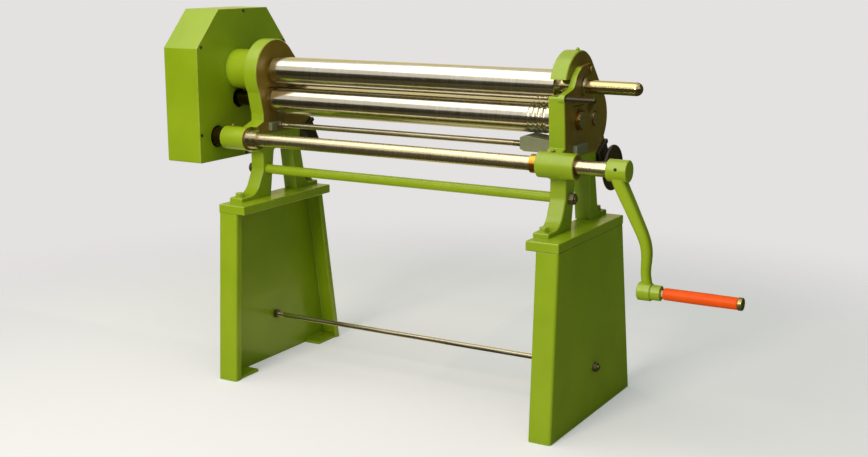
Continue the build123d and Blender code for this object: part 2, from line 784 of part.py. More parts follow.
up = math.pi / 2
roll_pitch_r = roll_centres / 2
roll_dedendum = roll_addendum + lift + tooth_clearance
roll_backlash = 2 * lift * math.tan(pressure_angle) + tooth_clearance
lower_teeth = gear_outline(roll_gear_teeth, roll_pitch_r, roll_addendum, roll_dedendum, roll_backlash, up)
upper_teeth = gear_outline(roll_gear_teeth, roll_pitch_r, roll_addendum, roll_dedendum, roll_backlash,
                           up + math.pi + math.pi / roll_gear_teeth)
to_pinion = math.atan2(drive_shaft_z - low_roll_z, drive_shaft_y)
pinion_pitch_r = drive_module * pinion_teeth / 2
# The wedges carry the main gear across the pinion and nearer to it, so its teeth are thinner and deeper.
lift_across = lift * -drive_shaft_y / drive_centres
lift_apart = lift * drive_drop / drive_centres
drive_dedendum = drive_module * 1.25 + lift_apart
drive_backlash = 2 * (lift_across + lift_apart * math.tan(pressure_angle) + drive_flank_gap)
main_tooth_ring = gear_outline(main_teeth, drive_module * main_teeth / 2, drive_module, drive_dedendum,
                               drive_backlash, to_pinion)
pinion_tooth_ring = gear_outline(pinion_teeth, pinion_pitch_r, drive_module, drive_dedendum, drive_backlash,
                                 to_pinion + math.pi + math.pi / pinion_teeth)
lower_key = key(roll_gear_x, main_gear_end, 0, low_roll_z, gear_seat_r)
top_key = key(roll_gear_x, roll_gear_end, 0, top_roll_z, gear_seat_r)
pinion_key = key(main_gear_x, main_gear_end, drive_shaft_y, drive_shaft_z, pinion_seat_r)
main_gear = spur_gear(main_tooth_ring, main_gear_x, main_gear_end, 0, low_roll_z, gear_seat_r)
main_gear += tube(gear_seat_r + main_hub_wall, gear_seat_r, roll_gear_end, main_gear_x, 0, low_roll_z)
pinion = spur_gear(pinion_tooth_ring, main_gear_x, main_gear_end, drive_shaft_y, drive_shaft_z, pinion_seat_r)
lower_gear = spur_gear(lower_teeth, roll_gear_x, roll_gear_end, 0, low_roll_z, gear_seat_r)
top_gear = spur_gear(upper_teeth, roll_gear_x, roll_gear_end, 0, top_roll_z, gear_seat_r)
keep("lower_roll_gear", lower_gear - lower_key)
keep("top_roll_gear", top_gear - top_key)
keep("main_gear", main_gear - lower_key)
keep("drive_pinion", pinion - pinion_key)
keep("lower_roll_key", lower_key)
keep("top_roll_key", top_key)
keep("pinion_key", pinion_key)
lower_ring_x = main_gear_end - ring_t
top_ring_x = roll_gear_end - ring_t
ring_r = gear_seat_r + ring_wall
keep("lower_gear_ring", tube(ring_r, gear_seat_r, lower_ring_x, main_gear_end, 0, low_roll_z))
keep("top_gear_ring", tube(ring_r, gear_seat_r, top_ring_x, roll_gear_end, 0, top_roll_z))

# Top roll: its left end carries a gear, and its right end has a collar and a long rounded nose.
nose_r = nose_d / 2
nose_end_x = right_out_x + nose_reach
top_roll = eased_rod(roll_r, roll_left_x, roll_right_x, 0, top_roll_z, roll_edge)
top_roll += rod(journal_d / 2, roll_gear_x, collar_in_x, 0, top_roll_z)
top_roll += rod(gear_seat_r, top_ring_x, roll_gear_x, 0, top_roll_z)
top_roll += rod(nose_r, collar_in_x, nose_end_x - nose_r, 0, top_roll_z)
top_roll += Pos(nose_end_x - nose_r, 0, top_roll_z) * Sphere(nose_r)
nose_screw_place = Pos(collar_in_x + nose_collar_len / 2, 0, top_roll_z + nose_r)
nose_screw = nose_screw_place * Cylinder(nose_screw_d / 2, nose_screw_d)
nose_collar_x = collar_in_x + nose_collar_len
nose_collar = rod(nose_collar_d / 2, collar_in_x, nose_collar_x, 0, top_roll_z)
nose_collar = chamfer(nose_collar.edges().sort_by(Axis.X)[-1], nose_collar_edge)
nose_collar -= drill(nose_r, collar_in_x, nose_collar_x, 0, top_roll_z)
screw_way = Pos(0, 0, nose_screw_d / 2) * nose_screw
keep("top_roll", top_roll - top_key - nose_screw)
keep("nose_collar", nose_collar - nose_screw - screw_way)
keep("nose_collar_screw", nose_screw)

# Lower roll, with wire grooves of growing size near its right end.
lower_roll = eased_rod(roll_r, roll_left_x, roll_right_x, 0, low_roll_z, roll_edge)
lower_roll_end_x = right_out_x + lower_bush_proud + journal_stub
lower_roll += rod(lower_journal_d / 2, roll_gear_x, lower_roll_end_x, 0, low_roll_z)
lower_roll += rod(gear_seat_r, lower_ring_x, roll_gear_x, 0, low_roll_z)
groove_x = roll_right_x - wire_groove_inset
for groove_r in reversed(wire_groove_radii):
    lower_roll -= Pos(groove_x, 0, low_roll_z) * Rot(0, 90, 0) * Torus(roll_r, groove_r)
    groove_x -= wire_groove_pitch
keep("lower_roll", lower_roll - lower_key)

# Rear roll
rear_roll = eased_rod(roll_r, roll_left_x, roll_right_x, rear_roll_y, rear_roll_z, roll_edge)
rear_x0 = left_out_x - journal_stub
rear_x1 = right_out_x + journal_stub
rear_roll += rod(rear_journal_d / 2, rear_x0, rear_x1, rear_roll_y, rear_roll_z)
keep("rear_roll", rear_roll)

# Lower bearing blocks: each sits on a wedge, so its foot has the wedge's slope.
wedge_mid_z = low_roll_z - wedge_below_roll
wedge_half = window_half - sliding


def wedge_top_z(x, mid_x):
    return wedge_mid_z - (x - mid_x) * wedge_slope


def sloped_bar(x0, x1, lows, highs):
    """A bar across Y whose lower and upper faces run straight from their height at x0 to that at x1."""
    side_view = outline_of([(x0, lows[0]), (x1, lows[1]), (x1, highs[1]), (x0, highs[0])])
    return extrude(Plane.XZ * side_view, wedge_half, both=True)


block_top_z = window_top_z - lift - block_head_gap
lower_bush_r = lower_journal_d / 2 + bush_wall
lower_blocks = []
lower_bushes = []
for mid_x, proud in ((left_mid_x, 0), (right_mid_x, lower_bush_proud)):
    x0 = mid_x - frame_t / 2
    x1 = mid_x + frame_t / 2
    feet = (wedge_top_z(x0, mid_x) + wedge_gap, wedge_top_z(x1, mid_x) + wedge_gap)
    body = sloped_bar(x0, x1, feet, (block_top_z, block_top_z))
    lower_blocks.append(body - drill(lower_bush_r, x0, x1, 0, low_roll_z))
    lower_bushes.append(tube(lower_bush_r, lower_journal_d / 2 + running, x0, x1 + proud, 0, low_roll_z))
keep("lower_bearing_blocks", *lower_blocks)
keep("lower_roll_bushes", *lower_bushes)

# Wedges under those blocks, joined by one rod so that both ends of the roll lift together.
wedge_floor_z = window_floor_z + wedge_gap
wedge_rod_z = (wedge_floor_z + wedge_mid_z) / 2 + wedge_rod_rise
left_wedge_x0 = left_out_x - wedge_travel - past
left_wedge_x1 = left_in_x + wedge_travel + wedge_stub
right_wedge_x0 = right_in_x - wedge_travel - wedge_inboard
right_wedge_x1 = right_out_x + wedge_travel + wedge_stub
nose_x = right_wedge_x0 + wedge_nose_len
rod_x0 = left_wedge_x1 - wedge_thread
rod_x1 = right_wedge_x0 + wedge_thread
wedge_rod = rod(wedge_rod_d / 2, rod_x0, rod_x1, 0, wedge_rod_z)
left_wedge = sloped_bar(left_wedge_x0, left_wedge_x1, (wedge_floor_z, wedge_floor_z),
                        (wedge_top_z(left_wedge_x0, left_mid_x), wedge_top_z(left_wedge_x1, left_mid_x)))
right_wedge = sloped_bar(nose_x, right_wedge_x1, (wedge_floor_z, wedge_floor_z),
                         (wedge_top_z(nose_x, right_mid_x), wedge_top_z(right_wedge_x1, right_mid_x)))
nose_top_z = wedge_top_z(nose_x, right_mid_x)
right_wedge += sloped_bar(right_wedge_x0, nose_x, (wedge_floor_z + wedge_nose_drop, wedge_floor_z),
                          (nose_top_z - wedge_nose_drop, nose_top_z))
keep("left_wedge", left_wedge - wedge_rod)
keep("right_wedge", right_wedge - wedge_rod)
keep("wedge_rod", wedge_rod)
keep("wedge_nuts",
     nut(wedge_rod_d, left_wedge_x1, left_wedge_x1 + wedge_nut_t, 0, wedge_rod_z),
     nut(wedge_rod_d, right_wedge_x0 - wedge_nut_t, right_wedge_x0, 0, wedge_rod_z))

# Rear bearing blocks slide in slanting slots on screws, which bevel gears turn in yokes below.
rear_bush_r = rear_journal_d / 2 + bush_wall
screw_tip = rear_bush_r + screw_tip_wall
yoke_under = rear_pad_reach + yoke_flange_t
yoke_half_x = yoke_half_gap + yoke_wall
cross_y, cross_z = beside_screw(0, screw_to_cross_shaft)
cross_r = cross_shaft_d / 2
bevel_back = screw_to_cross_shaft - bevel_radius
screw_end = screw_to_cross_shaft - cross_r - edge


def bevel_ring(turn):
    """Mitre gear teeth with their apex at the origin and their axis along +Z."""
    back = gear_outline(bevel_teeth, bevel_radius, bevel_addendum, bevel_dedendum, bevel_backlash, turn)
    front = scale(back, 1 - bevel_face / bevel_radius)
    return loft([Pos(0, 0, bevel_radius - bevel_face) * front, Pos(0, 0, bevel_radius) * back], ruled=True)


def rear_block(mid_x):
    x0 = mid_x - frame_t / 2
    x1 = mid_x + frame_t / 2
    body = plate(along_screw(rear_block_half, -rear_block_above, rear_block_below), x0, x1)
    body -= drill(rear_bush_r, x0, x1, rear_roll_y, rear_roll_z)
    return body - screw_rod(mid_x, screw_d / 2 + running, screw_tip - edge, rear_block_below + past)


def yoke(mid_x):
    """A flange on the frame's pad with two cheeks that carry the cross shaft."""
    middle = down_screw(mid_x, 0, (rear_pad_reach + yoke_under) / 2)
    body = middle * Box(2 * yoke_half_x, 2 * rear_pad_half, yoke_flange_t)
    cheek = along_screw(yoke_half_width, yoke_under - edge, screw_to_cross_shaft)
    cheek += disc(yoke_half_width, cross_y, cross_z)
    body += plate(cheek, mid_x - yoke_half_x, mid_x - yoke_half_gap)
    body += plate(cheek, mid_x + yoke_half_gap, mid_x + yoke_half_x)
    body -= drill(cross_r + running, mid_x - yoke_half_x, mid_x + yoke_half_x, cross_y, cross_z)
    body -= screw_rod(mid_x, screw_d / 2 + running, rear_pad_reach - past, yoke_under + past)
    for across in yoke_bolts_at:
        body -= down_screw(mid_x, across, yoke_under) * Cylinder(yoke_bolt_d / 2, 3 * yoke_flange_t)
    return body


def adjusting_screw(mid_x):
    """A screw with its bevel gear, whose hub turns under the yoke's flange."""
    apex = down_screw(mid_x, 0, screw_to_cross_shaft) * Rot(0, 180, 0)
    gear = screw_rod(mid_x, bevel_hub_r, yoke_under + sliding, bevel_back) + apex * bevel_ring(0)
    return screw_rod(mid_x, screw_d / 2, screw_tip, screw_end) + gear


def cross_bevel(mid_x):
    """The cross shaft's bevel gear, with a gap between teeth where the screw's gear has a tooth."""
    apex = Plane(origin=(mid_x, cross_y, cross_z), x_dir=tuple(lift_dir), z_dir=(-1, 0, 0))
    back_x = mid_x - bevel_radius
    gear = apex * bevel_ring(math.pi / bevel_teeth)
    gear += rod(bevel_hub_r, mid_x - yoke_half_gap + sliding, back_x, cross_y, cross_z)
    return gear - drill(cross_r, mid_x - yoke_half_gap, mid_x, cross_y, cross_z)


rear_bushes = []
yoke_bolts = []
for mid_x in (left_mid_x, right_mid_x):
    x0 = mid_x - frame_t / 2
    x1 = mid_x + frame_t / 2
    rear_bushes.append(tube(rear_bush_r, rear_journal_d / 2 + running, x0, x1, rear_roll_y, rear_roll_z))
    for across in yoke_bolts_at:
        yoke_bolts.append(down_screw(mid_x, across, yoke_under)
                          * hex_screw(yoke_bolt_d, yoke_flange_t + yoke_bolt_grip - edge))
keep("rear_bearing_blocks", rear_block(left_mid_x), rear_block(right_mid_x))
keep("rear_roll_bushes", *rear_bushes)
keep("screw_yokes", yoke(left_mid_x), yoke(right_mid_x))
keep("yoke_bolts", *yoke_bolts)
keep("left_adjusting_screw", adjusting_screw(left_mid_x))
keep("right_adjusting_screw", adjusting_screw(right_mid_x))
keep("cross_shaft_bevels", cross_bevel(left_mid_x), cross_bevel(right_mid_x))

# Cross shaft and its handwheel, outside the right frame.
wheel_x0 = right_mid_x + yoke_half_x + edge
wheel_x1 = wheel_x0 + handwheel_hub_len
wheel_centre = Pos((wheel_x0 + wheel_x1) / 2, cross_y, cross_z)
rim_r = (handwheel_d - handwheel_rim_d) / 2
wheel = wheel_centre * Rot(0, 90, 0) * Torus(rim_r, handwheel_rim_d / 2)
wheel += eased_rod(handwheel_hub_d / 2, wheel_x0, wheel_x1, cross_y, cross_z, edge)
wheel += wheel_centre * Rot(0, 90, 0) * Cylinder(rim_r, handwheel_web_t)
keep("handwheel", wheel - drill(cross_r, wheel_x0, wheel_x1, cross_y, cross_z))
cross_x0 = left_mid_x - yoke_half_x - cross_shaft_stub
keep("cross_shaft", rod(cross_r, cross_x0, wheel_x1, cross_y, cross_z))

# Drive shaft and its collars.
set_screw_x = hub_in_x + crank_hub_len * set_screw_place
lean = math.radians(set_screw_lean)
set_screw_y = drive_shaft_y - drive_shaft_d / 2 * math.cos(lean)
set_screw_z = drive_shaft_z + drive_shaft_d / 2 * math.sin(lean)
set_screw_plane = Plane(origin=(set_screw_x, set_screw_y, set_screw_z),
                        x_dir=(1, 0, 0), z_dir=(0, -math.cos(lean), math.sin(lean)))
set_screw = set_screw_plane * Cylinder(set_screw_d / 2, set_screw_len)
set_screw_way = set_screw_plane * Pos(0, 0, crank_hub_d / 2 - edge) * Cylinder(set_screw_d / 2, crank_hub_d)
shaft_end_x = hub_out_x - crank_hub_floor
drive_shaft = rod(drive_shaft_d / 2, left_boss_x0 - edge, shaft_end_x, drive_shaft_y, drive_shaft_z)
drive_shaft += rod(pinion_seat_r, main_gear_end, left_boss_x0, drive_shaft_y, drive_shaft_z)
keep("drive_shaft", drive_shaft - pinion_key - set_screw)
left_collar_x = left_boss_x1 + seat
right_collar_x = right_boss_x0 - seat
keep("shaft_collars",
     tube(spacer_d / 2, pinion_seat_r, main_gear_x, left_boss_x0 - edge, drive_shaft_y, drive_shaft_z),
     tube(left_collar_d / 2, drive_shaft_d / 2, left_collar_x, left_collar_x + left_collar_len,
          drive_shaft_y, drive_shaft_z),
     tube(right_collar_d / 2, drive_shaft_d / 2, right_collar_x - right_collar_len, right_collar_x,
          drive_shaft_y, drive_shaft_z))

# Crank: a hub on the shaft, an arm that slopes out to a knee and then drops, and a boss for the handle.
knee_x = crank_boss_x + crank_knee_out
knee_z = drive_shaft_z - crank_knee * crank_throw
arm_path = FilletPolyline((arm_x, drive_shaft_y, drive_shaft_z), (knee_x, drive_shaft_y, knee_z),
                          (crank_boss_x, drive_shaft_y, crank_end_z), radius=crank_bend_r)
arm_profiles = []
for place in range(arm_sections):
    share = place / (arm_sections - 1)
    width = arm_root_width + (arm_foot_width - arm_root_width) * share
    thick = arm_root_t + (arm_foot_t - arm_root_t) * share
    across = Plane(origin=arm_path @ share, x_dir=(0, 1, 0), z_dir=arm_path % share)
    arm_profiles.append(across * RectangleRounded(width, thick, arm_corner))
boss_x0 = crank_boss_x - crank_boss_back
boss_step_x = boss_x0 + crank_boss_len
boss_x1 = boss_step_x + crank_neck_len
crank = loft(arm_profiles)
crank += eased_rod(crank_hub_d / 2, hub_in_x, hub_out_x, drive_shaft_y, drive_shaft_z, edge)
crank += eased_rod(crank_boss_d / 2, boss_x0, boss_step_x, drive_shaft_y, crank_end_z, edge)
crank += eased_rod(crank_neck_d / 2, boss_step_x - edge, boss_x1, drive_shaft_y, crank_end_z, edge / 2)
crank -= rod(drive_shaft_d / 2, hub_in_x - past, shaft_end_x, drive_shaft_y, drive_shaft_z)
crank -= drill(spindle_d / 2, boss_x0, boss_x1, drive_shaft_y, crank_end_z)
keep("crank_arm", crank - set_screw_way)
socket = set_screw_plane * extrude(RegularPolygon(set_screw_socket_r, 6), set_screw_len)
keep("crank_set_screw", set_screw - socket)

# Handle: a fixed spindle with a ferrule, a grip that turns on it, and an end nut.
grip_x0 = boss_x1 + ferrule_len + seat
grip_x1 = grip_x0 + grip_len
end_nut_x = grip_x1 + seat
spindle_end_x = end_nut_x + end_nut_len - end_nut_wall
spindle = rod(spindle_d / 2, boss_x0, spindle_end_x, drive_shaft_y, crank_end_z)
end_nut = rod(end_nut_d / 2, end_nut_x, end_nut_x + end_nut_len, drive_shaft_y, crank_end_z)
end_nut = fillet(end_nut.edges().filter_by(GeomType.CIRCLE).sort_by(Axis.X)[-1], grip_edge)
grip = rod(grip_d / 2, grip_x0, grip_x1, drive_shaft_y, crank_end_z)
grip = fillet(grip.edges().filter_by(GeomType.CIRCLE), grip_edge)
ferrule = tube(ferrule_d / 2, spindle_d / 2, boss_x1, boss_x1 + ferrule_len, drive_shaft_y, crank_end_z)
keep("handle_spindle", spindle)
keep("handle_ferrule", ferrule)
keep("handle_end_nut", end_nut - spindle)
keep("crank_grip", grip - drill(spindle_d / 2 + running, grip_x0, grip_x1, drive_shaft_y, crank_end_z))

# Latch: a hooked plate on a pin that closes the top roll's slot, with a bar to lift it by.
heel_z = top_roll_z - latch_heel_below
hook = rounded_outline([
    (latch_pivot_y, latch_pivot_z + latch_eye_r, edge),
    (latch_crown_y, top_roll_z + latch_crown_above, bend_r),
    (latch_brow_y, top_roll_z + latch_brow_above, bend_r),
    (latch_neck_y, top_roll_z + latch_neck_above, bend_r),
    (latch_lip_y, latch_lip_z + latch_lip_r, edge), (latch_lip_y, latch_lip_z - latch_lip_r, edge),
    (latch_heel_y, heel_z, bend_r), (-latch_clearance_r, heel_z, edge),
    (-latch_clearance_r, top_roll_z, edge),
    (0, top_roll_z, edge), (0, top_roll_z + latch_clearance_r, edge),
    (latch_pivot_y, latch_pivot_z - latch_eye_r, edge)])
hook += disc(latch_eye_r, latch_pivot_y, latch_pivot_z) + disc(latch_lip_r, latch_lip_y, latch_lip_z)
hook -= disc(latch_clearance_r, 0, top_roll_z)
latch = plate(hook, latch_x0, latch_x1)
latch -= drill(latch_pin_d / 2 + running, latch_x0, latch_x1, latch_pivot_y, latch_pivot_z)
latch -= drill(latch_handle_d / 2, latch_x0, latch_x1, latch_lip_y, latch_lip_z)
keep("top_roll_latch", latch)
handle_end_x = latch_x1 + latch_handle_len
keep("latch_handle", eased_rod(latch_handle_d / 2, latch_x0, handle_end_x, latch_lip_y, latch_lip_z, edge))
head_x0 = latch_x1 + seat
head_x1 = head_x0 + latch_pin_head_t
latch_pin = rod(latch_pin_d / 2, latch_pin_x, head_x0, latch_pivot_y, latch_pivot_z)
latch_pin += eased_rod(latch_pin_d * 0.8, head_x0, head_x1, latch_pivot_y, latch_pivot_z, edge)
keep("latch_pin", latch_pin)
keep("latch_stop_pin", rod(stop_pin_d / 2, stop_pin_x, latch_x1 - stop_pin_inset, stop_pin_y, stop_pin_z))
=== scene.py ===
import math

import bpy
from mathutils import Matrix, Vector


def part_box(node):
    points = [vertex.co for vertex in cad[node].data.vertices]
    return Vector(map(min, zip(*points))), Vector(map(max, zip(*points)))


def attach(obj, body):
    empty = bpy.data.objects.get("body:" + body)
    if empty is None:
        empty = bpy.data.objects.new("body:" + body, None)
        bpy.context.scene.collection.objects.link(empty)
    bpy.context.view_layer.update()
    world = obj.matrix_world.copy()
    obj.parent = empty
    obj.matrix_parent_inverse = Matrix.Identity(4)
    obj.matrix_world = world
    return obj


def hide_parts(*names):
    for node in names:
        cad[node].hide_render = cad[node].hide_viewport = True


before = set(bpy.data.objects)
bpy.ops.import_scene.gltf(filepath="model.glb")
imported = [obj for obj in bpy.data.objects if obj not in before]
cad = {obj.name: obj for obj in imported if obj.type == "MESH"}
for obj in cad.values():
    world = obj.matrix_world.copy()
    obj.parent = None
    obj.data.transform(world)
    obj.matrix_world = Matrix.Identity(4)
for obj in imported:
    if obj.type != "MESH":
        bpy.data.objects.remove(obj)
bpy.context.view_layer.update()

# Camera: it stands in front of the crank end, a little above the rolls, and looks down along
# the machine. Its place and lens were fitted to the stands, rolls and cover in the picture.
mm = 0.001
camera_spot = (1961.66 * mm, -3311.73 * mm, 1322.17 * mm)
degrees_down = 11.94
degrees_left = 29.89
camera_lens = bpy.data.cameras.new("camera")
camera_lens.sensor_width = 36.0
camera_lens.lens = 52.5
camera = bpy.data.objects.new("camera", camera_lens)
camera.location = camera_spot
camera.rotation_euler = (math.radians(90 - degrees_down), 0, math.radians(degrees_left))
bpy.context.scene.collection.objects.link(camera)
bpy.context.scene.camera = camera


# Stands: two channels folded from 5 mm sheet, each with a thick bar welded across its top and
# foot plates welded inside its corners. All of it is sprayed with the machine's green enamel.
def linear(code):
    """An sRGB hex colour as linear RGBA."""
    parts = [int(code[place:place + 2], 16) / 255 for place in (1, 3, 5)]
    return (*[part / 12.92 if part <= 0.04045 else ((part + 0.055) / 1.055) ** 2.4 for part in parts], 1.0)


def add(tree, kind, inputs=None, **settings):
    """One node, with its settings, and with its inputs set or linked."""
    made = tree.nodes.new("ShaderNode" + kind)
    for name, value in settings.items():
        setattr(made, name, value)
    for name, value in (inputs or {}).items():
        if isinstance(value, bpy.types.NodeSocket):
            tree.links.new(value, made.inputs[name])
        else:
            made.inputs[name].default_value = value
    return made


def finish_named(name):
    """A new material, its node tree and its surface shader."""
    made = bpy.data.materials.new(name)
    made.use_nodes = True
    return made, made.node_tree, made.node_tree.nodes["Principled BSDF"]


def edge_mask(tree, width):
    """1 along outside edges and 0 on open surface, from how far a rounded edge turns the normal."""
    rounded = add(tree, "Bevel", {"Radius": width}, samples=4).outputs[0]
    flat = add(tree, "NewGeometry").outputs["Normal"]
    turned_by = add(tree, "VectorMath", {0: rounded, 1: flat}, operation="DOT_PRODUCT").outputs["Value"]
    rim = add(tree, "MapRange", {"Value": turned_by, "From Min": 0.99, "From Max": 0.86}).outputs[0]
    return rim, rounded


def enamel(name, coat, deep, thin_film_and_highlight, dusty, grain_size, grain_depth, rough):
    """Sprayed enamel: coat and deep are the film's own two tones. The next tone is laid along edges in
    patches, partly where the film pulls back from an edge and partly as a painted highlight. The tone after
    it is laid into corners and hollows that an occlusion pass finds: painted shade on the green enamels,
    where it is darker than the coat, and dust on the black one, where it is lighter. The grain is what lies
    under the film, and rough is how dull the film is."""
    cloud_size = 150 * mm
    corner_shade_reach = 35 * mm
    edge_width = 3 * mm
    edge_patch_size = 22 * mm
    gloss_size = 45 * mm
    made, tree, shader = finish_named(name)
    place = add(tree, "TexCoord").outputs["Object"]
    cloud = add(tree, "TexNoise", {"Vector": place, "Scale": 1 / cloud_size, "Detail": 4.0}).outputs[0]
    cloud = add(tree, "MapRange", {"Value": cloud, "From Min": 0.35, "From Max": 0.65}).outputs[0]
    film = add(tree, "Mix", {0: cloud, 6: linear(coat), 7: linear(deep)}, data_type="RGBA").outputs[2]
    # Painted shade: an occlusion pass mixes the corner tone into the film in corners and hollows. This
    # darkens the green enamels there and browns the black one, as dust.
    corner = add(tree, "AmbientOcclusion", {"Distance": corner_shade_reach}, samples=6).outputs["AO"]
    corner = add(tree, "MapRange", {"Value": corner, "From Min": 0.75, "From Max": 0.25,
                                    "To Max": 0.6}).outputs[0]
    film = add(tree, "Mix", {0: corner, 6: film, 7: linear(dusty)}, data_type="RGBA").outputs[2]
    # Painted highlight, partly thin film: edges are lightened towards the edge tone in noisy patches.
    rim, rounded = edge_mask(tree, edge_width)
    patchy = add(tree, "TexNoise", {"Vector": place, "Scale": 1 / edge_patch_size, "Detail": 3.0}).outputs[0]
    patchy = add(tree, "MapRange", {"Value": patchy, "From Min": 0.3, "From Max": 0.62,
                                    "To Min": 0.15}).outputs[0]
    edge_wear_and_highlight = add(tree, "Math", {0: rim, 1: patchy}, operation="MULTIPLY").outputs[0]
    film = add(tree, "Mix", {0: edge_wear_and_highlight, 6: film, 7: linear(thin_film_and_highlight)}, data_type="RGBA").outputs[2]
    tree.links.new(film, shader.inputs["Base Color"])
    gloss = add(tree, "TexNoise", {"Vector": place, "Scale": 1 / gloss_size, "Detail": 2.0}).outputs[0]
    gloss = add(tree, "MapRange", {"Value": gloss, "To Min": rough - 0.06,
                                   "To Max": rough + 0.12}).outputs[0]
    tree.links.new(gloss, shader.inputs["Roughness"])
    grain = add(tree, "TexNoise", {"Vector": place, "Scale": 1 / grain_size, "Detail": 3.0}).outputs[0]
    bump = add(tree, "Bump", {"Height": grain, "Distance": grain_depth, "Normal": rounded})
    tree.links.new(bump.outputs[0], shader.inputs["Normal"])
    shader.inputs["Coat Weight"].default_value = 0.25
    shader.inputs["Coat Roughness"].default_value = 0.12
    return made


def wear(node, made):
    """Gives a CAD node its finish."""
    mesh = cad[node].data
    mesh.materials.clear()
    mesh.materials.append(made)


def solid_from(name, points, faces, made, sharp=35):
    """A smooth-shaded mesh piece, with a crease wherever two faces meet at more than sharp degrees."""
    mesh = bpy.data.meshes.new(name)
    mesh.from_pydata(points, [], faces)
    mesh.shade_smooth()
    mesh.set_sharp_from_angle(angle=math.radians(sharp))
    mesh.materials.append(made)
    piece = bpy.data.objects.new(name, mesh)
    bpy.context.scene.collection.objects.link(piece)
    return piece


def joined_rings(count, around, first=0):
    """Faces that join count rings of around points, counted from point first. They face outwards
    where each ring turns right-handed about the way in which the rings follow one another."""
    faces = []
    for ring in range(count - 1):
        for step in range(around):
            here = first + ring * around + step
            beside = first + ring * around + (step + 1) % around
            faces.append((here, beside, beside + around, here + around))
    return faces


def flat_ends(count, around):
    """The two faces that close the first and the last of such rings."""
    last = (count - 1) * around
    return [tuple(reversed(range(around))), tuple(range(last, last + around))]


# Enamel on rolled sheet: an even film whose orange peel is 2 to 3 mm across on the real thing.
# It is drawn 7 mm across here, because finer peel doesn't show at this distance.
sheet_enamel = enamel("enamel_on_sheet", coat="#95AE16", deep="#8BA60E", thin_film_and_highlight="#BFCB5C", dusty="#6C8C06",
                      grain_size=7 * mm, grain_depth=0.12 * mm, rough=0.30)
for node in ("left_stand", "right_stand", "stand_caps", "foot_plates"):
    wear(node, sheet_enamel)


def weld_bead(name, start, end, radius):
    """A hand-laid bead: a rod along a seam whose ripples are the pools that the arc left."""
    start, end = Vector(start), Vector(end)
    along = (end - start).normalized()
    side = along.orthogonal().normalized()
    rise = along.cross(side)
    pool = 5 * mm
    waver = 17 * mm
    rings = int((end - start).length / (pool / 5))
    around = 10
    points = []
    for ring in range(rings + 1):
        share = ring / rings
        run = (end - start).length * share
        ripple = 0.82 + 0.18 * abs(math.sin(math.pi * run / pool)) + 0.05 * math.sin(run / waver)
        taper = min(1.0, min(ring, rings - ring) / 6 + 0.25)
        reach = radius * ripple * taper
        for step in range(around):
            angle = 2 * math.pi * step / around
            points.append(start + along * run + side * (reach * math.cos(angle))
                          + rise * (reach * math.sin(angle)))
    faces = joined_rings(rings + 1, around) + flat_ends(rings + 1, around)
    bead = solid_from(name, points, faces, sheet_enamel, 60)
    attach(bead, "machine_frame")


stand_out = 587 * mm
sheet = 5 * mm
cap_under = 542 * mm
cap_weld_y = 195 * mm
foot_top = 8 * mm
foot_welds = {"front": (-256 * mm, -152 * mm), "rear": (306 * mm, 202 * mm)}
bead_r = 4 * mm
for side, word in ((-1, "left"), (1, "right")):
    web = side * (stand_out - sheet)
    weld_bead(f"{word}_cap_weld", (web, -cap_weld_y, cap_under), (web, cap_weld_y, cap_under), bead_r)
    for end, (far, near) in foot_welds.items():
        weld_bead(f"{word}_{end}_foot_weld", (web, far, foot_top), (web, near, foot_top), bead_r)

# Lower tie rod: 16 mm bright drawn bar between the stands' webs, with a rolled thread at both
# ends and a nut on each side of each web. The nuts are blackened.
tie_y, tie_z = 30 * mm, 146 * mm
tie_end = 604.8 * mm
tie_r = 8 * mm
tie_thread = 60 * mm
tie_pitch = 2 * mm
fine_corner = 0.2 * mm


def brushed(name, light, dark, film, scratch, smooth, rough, depth, metal=1.0, corner=1.5 * mm):
    """Bare metal: light and dark are its own tones, film is the thin oil that tints it in patches, and
    scratch gives the spacing of its tool marks along X, Y and Z. Smooth and rough bound its gloss,
    metal is under 1 where a dull skin of oxide or grease lies on it, and corner is how far its
    corners are rounded off, which is little on turned and ground work."""
    film_size = 110 * mm
    made, tree, shader = finish_named(name)
    place = add(tree, "TexCoord").outputs["Object"]
    stretched = add(tree, "Mapping", {"Vector": place, "Scale": [1 / size for size in scratch]}).outputs[0]
    marks = add(tree, "TexNoise", {"Vector": stretched, "Scale": 1.0, "Detail": 4.0}).outputs[0]
    steel = add(tree, "Mix", {0: marks, 6: linear(dark), 7: linear(light)}, data_type="RGBA").outputs[2]
    patch = add(tree, "TexNoise", {"Vector": place, "Scale": 1 / film_size, "Detail": 3.0}).outputs[0]
    patch = add(tree, "MapRange", {"Value": patch, "From Min": 0.4, "From Max": 0.7,
                                   "To Max": 0.75}).outputs[0]
    steel = add(tree, "Mix", {0: patch, 6: steel, 7: linear(film)}, data_type="RGBA").outputs[2]
    rim, rounded = edge_mask(tree, corner)
    # Corners are mixed towards the light tone: partly metal rubbed bright, partly a painted highlight along
    # the edges.
    rubbed = add(tree, "Math", {0: rim, 1: 0.6}, operation="MULTIPLY").outputs[0]
    steel = add(tree, "Mix", {0: rubbed, 6: steel, 7: linear(light)}, data_type="RGBA").outputs[2]
    tree.links.new(steel, shader.inputs["Base Color"])
    gloss = add(tree, "MapRange", {"Value": marks, "From Min": 0.3, "From Max": 0.7,
                                   "To Min": smooth, "To Max": rough}).outputs[0]
    tree.links.new(gloss, shader.inputs["Roughness"])
    bump = add(tree, "Bump", {"Height": marks, "Distance": depth, "Normal": rounded})
    tree.links.new(bump.outputs[0], shader.inputs["Normal"])
    shader.inputs["Metallic"].default_value = metal
    return made


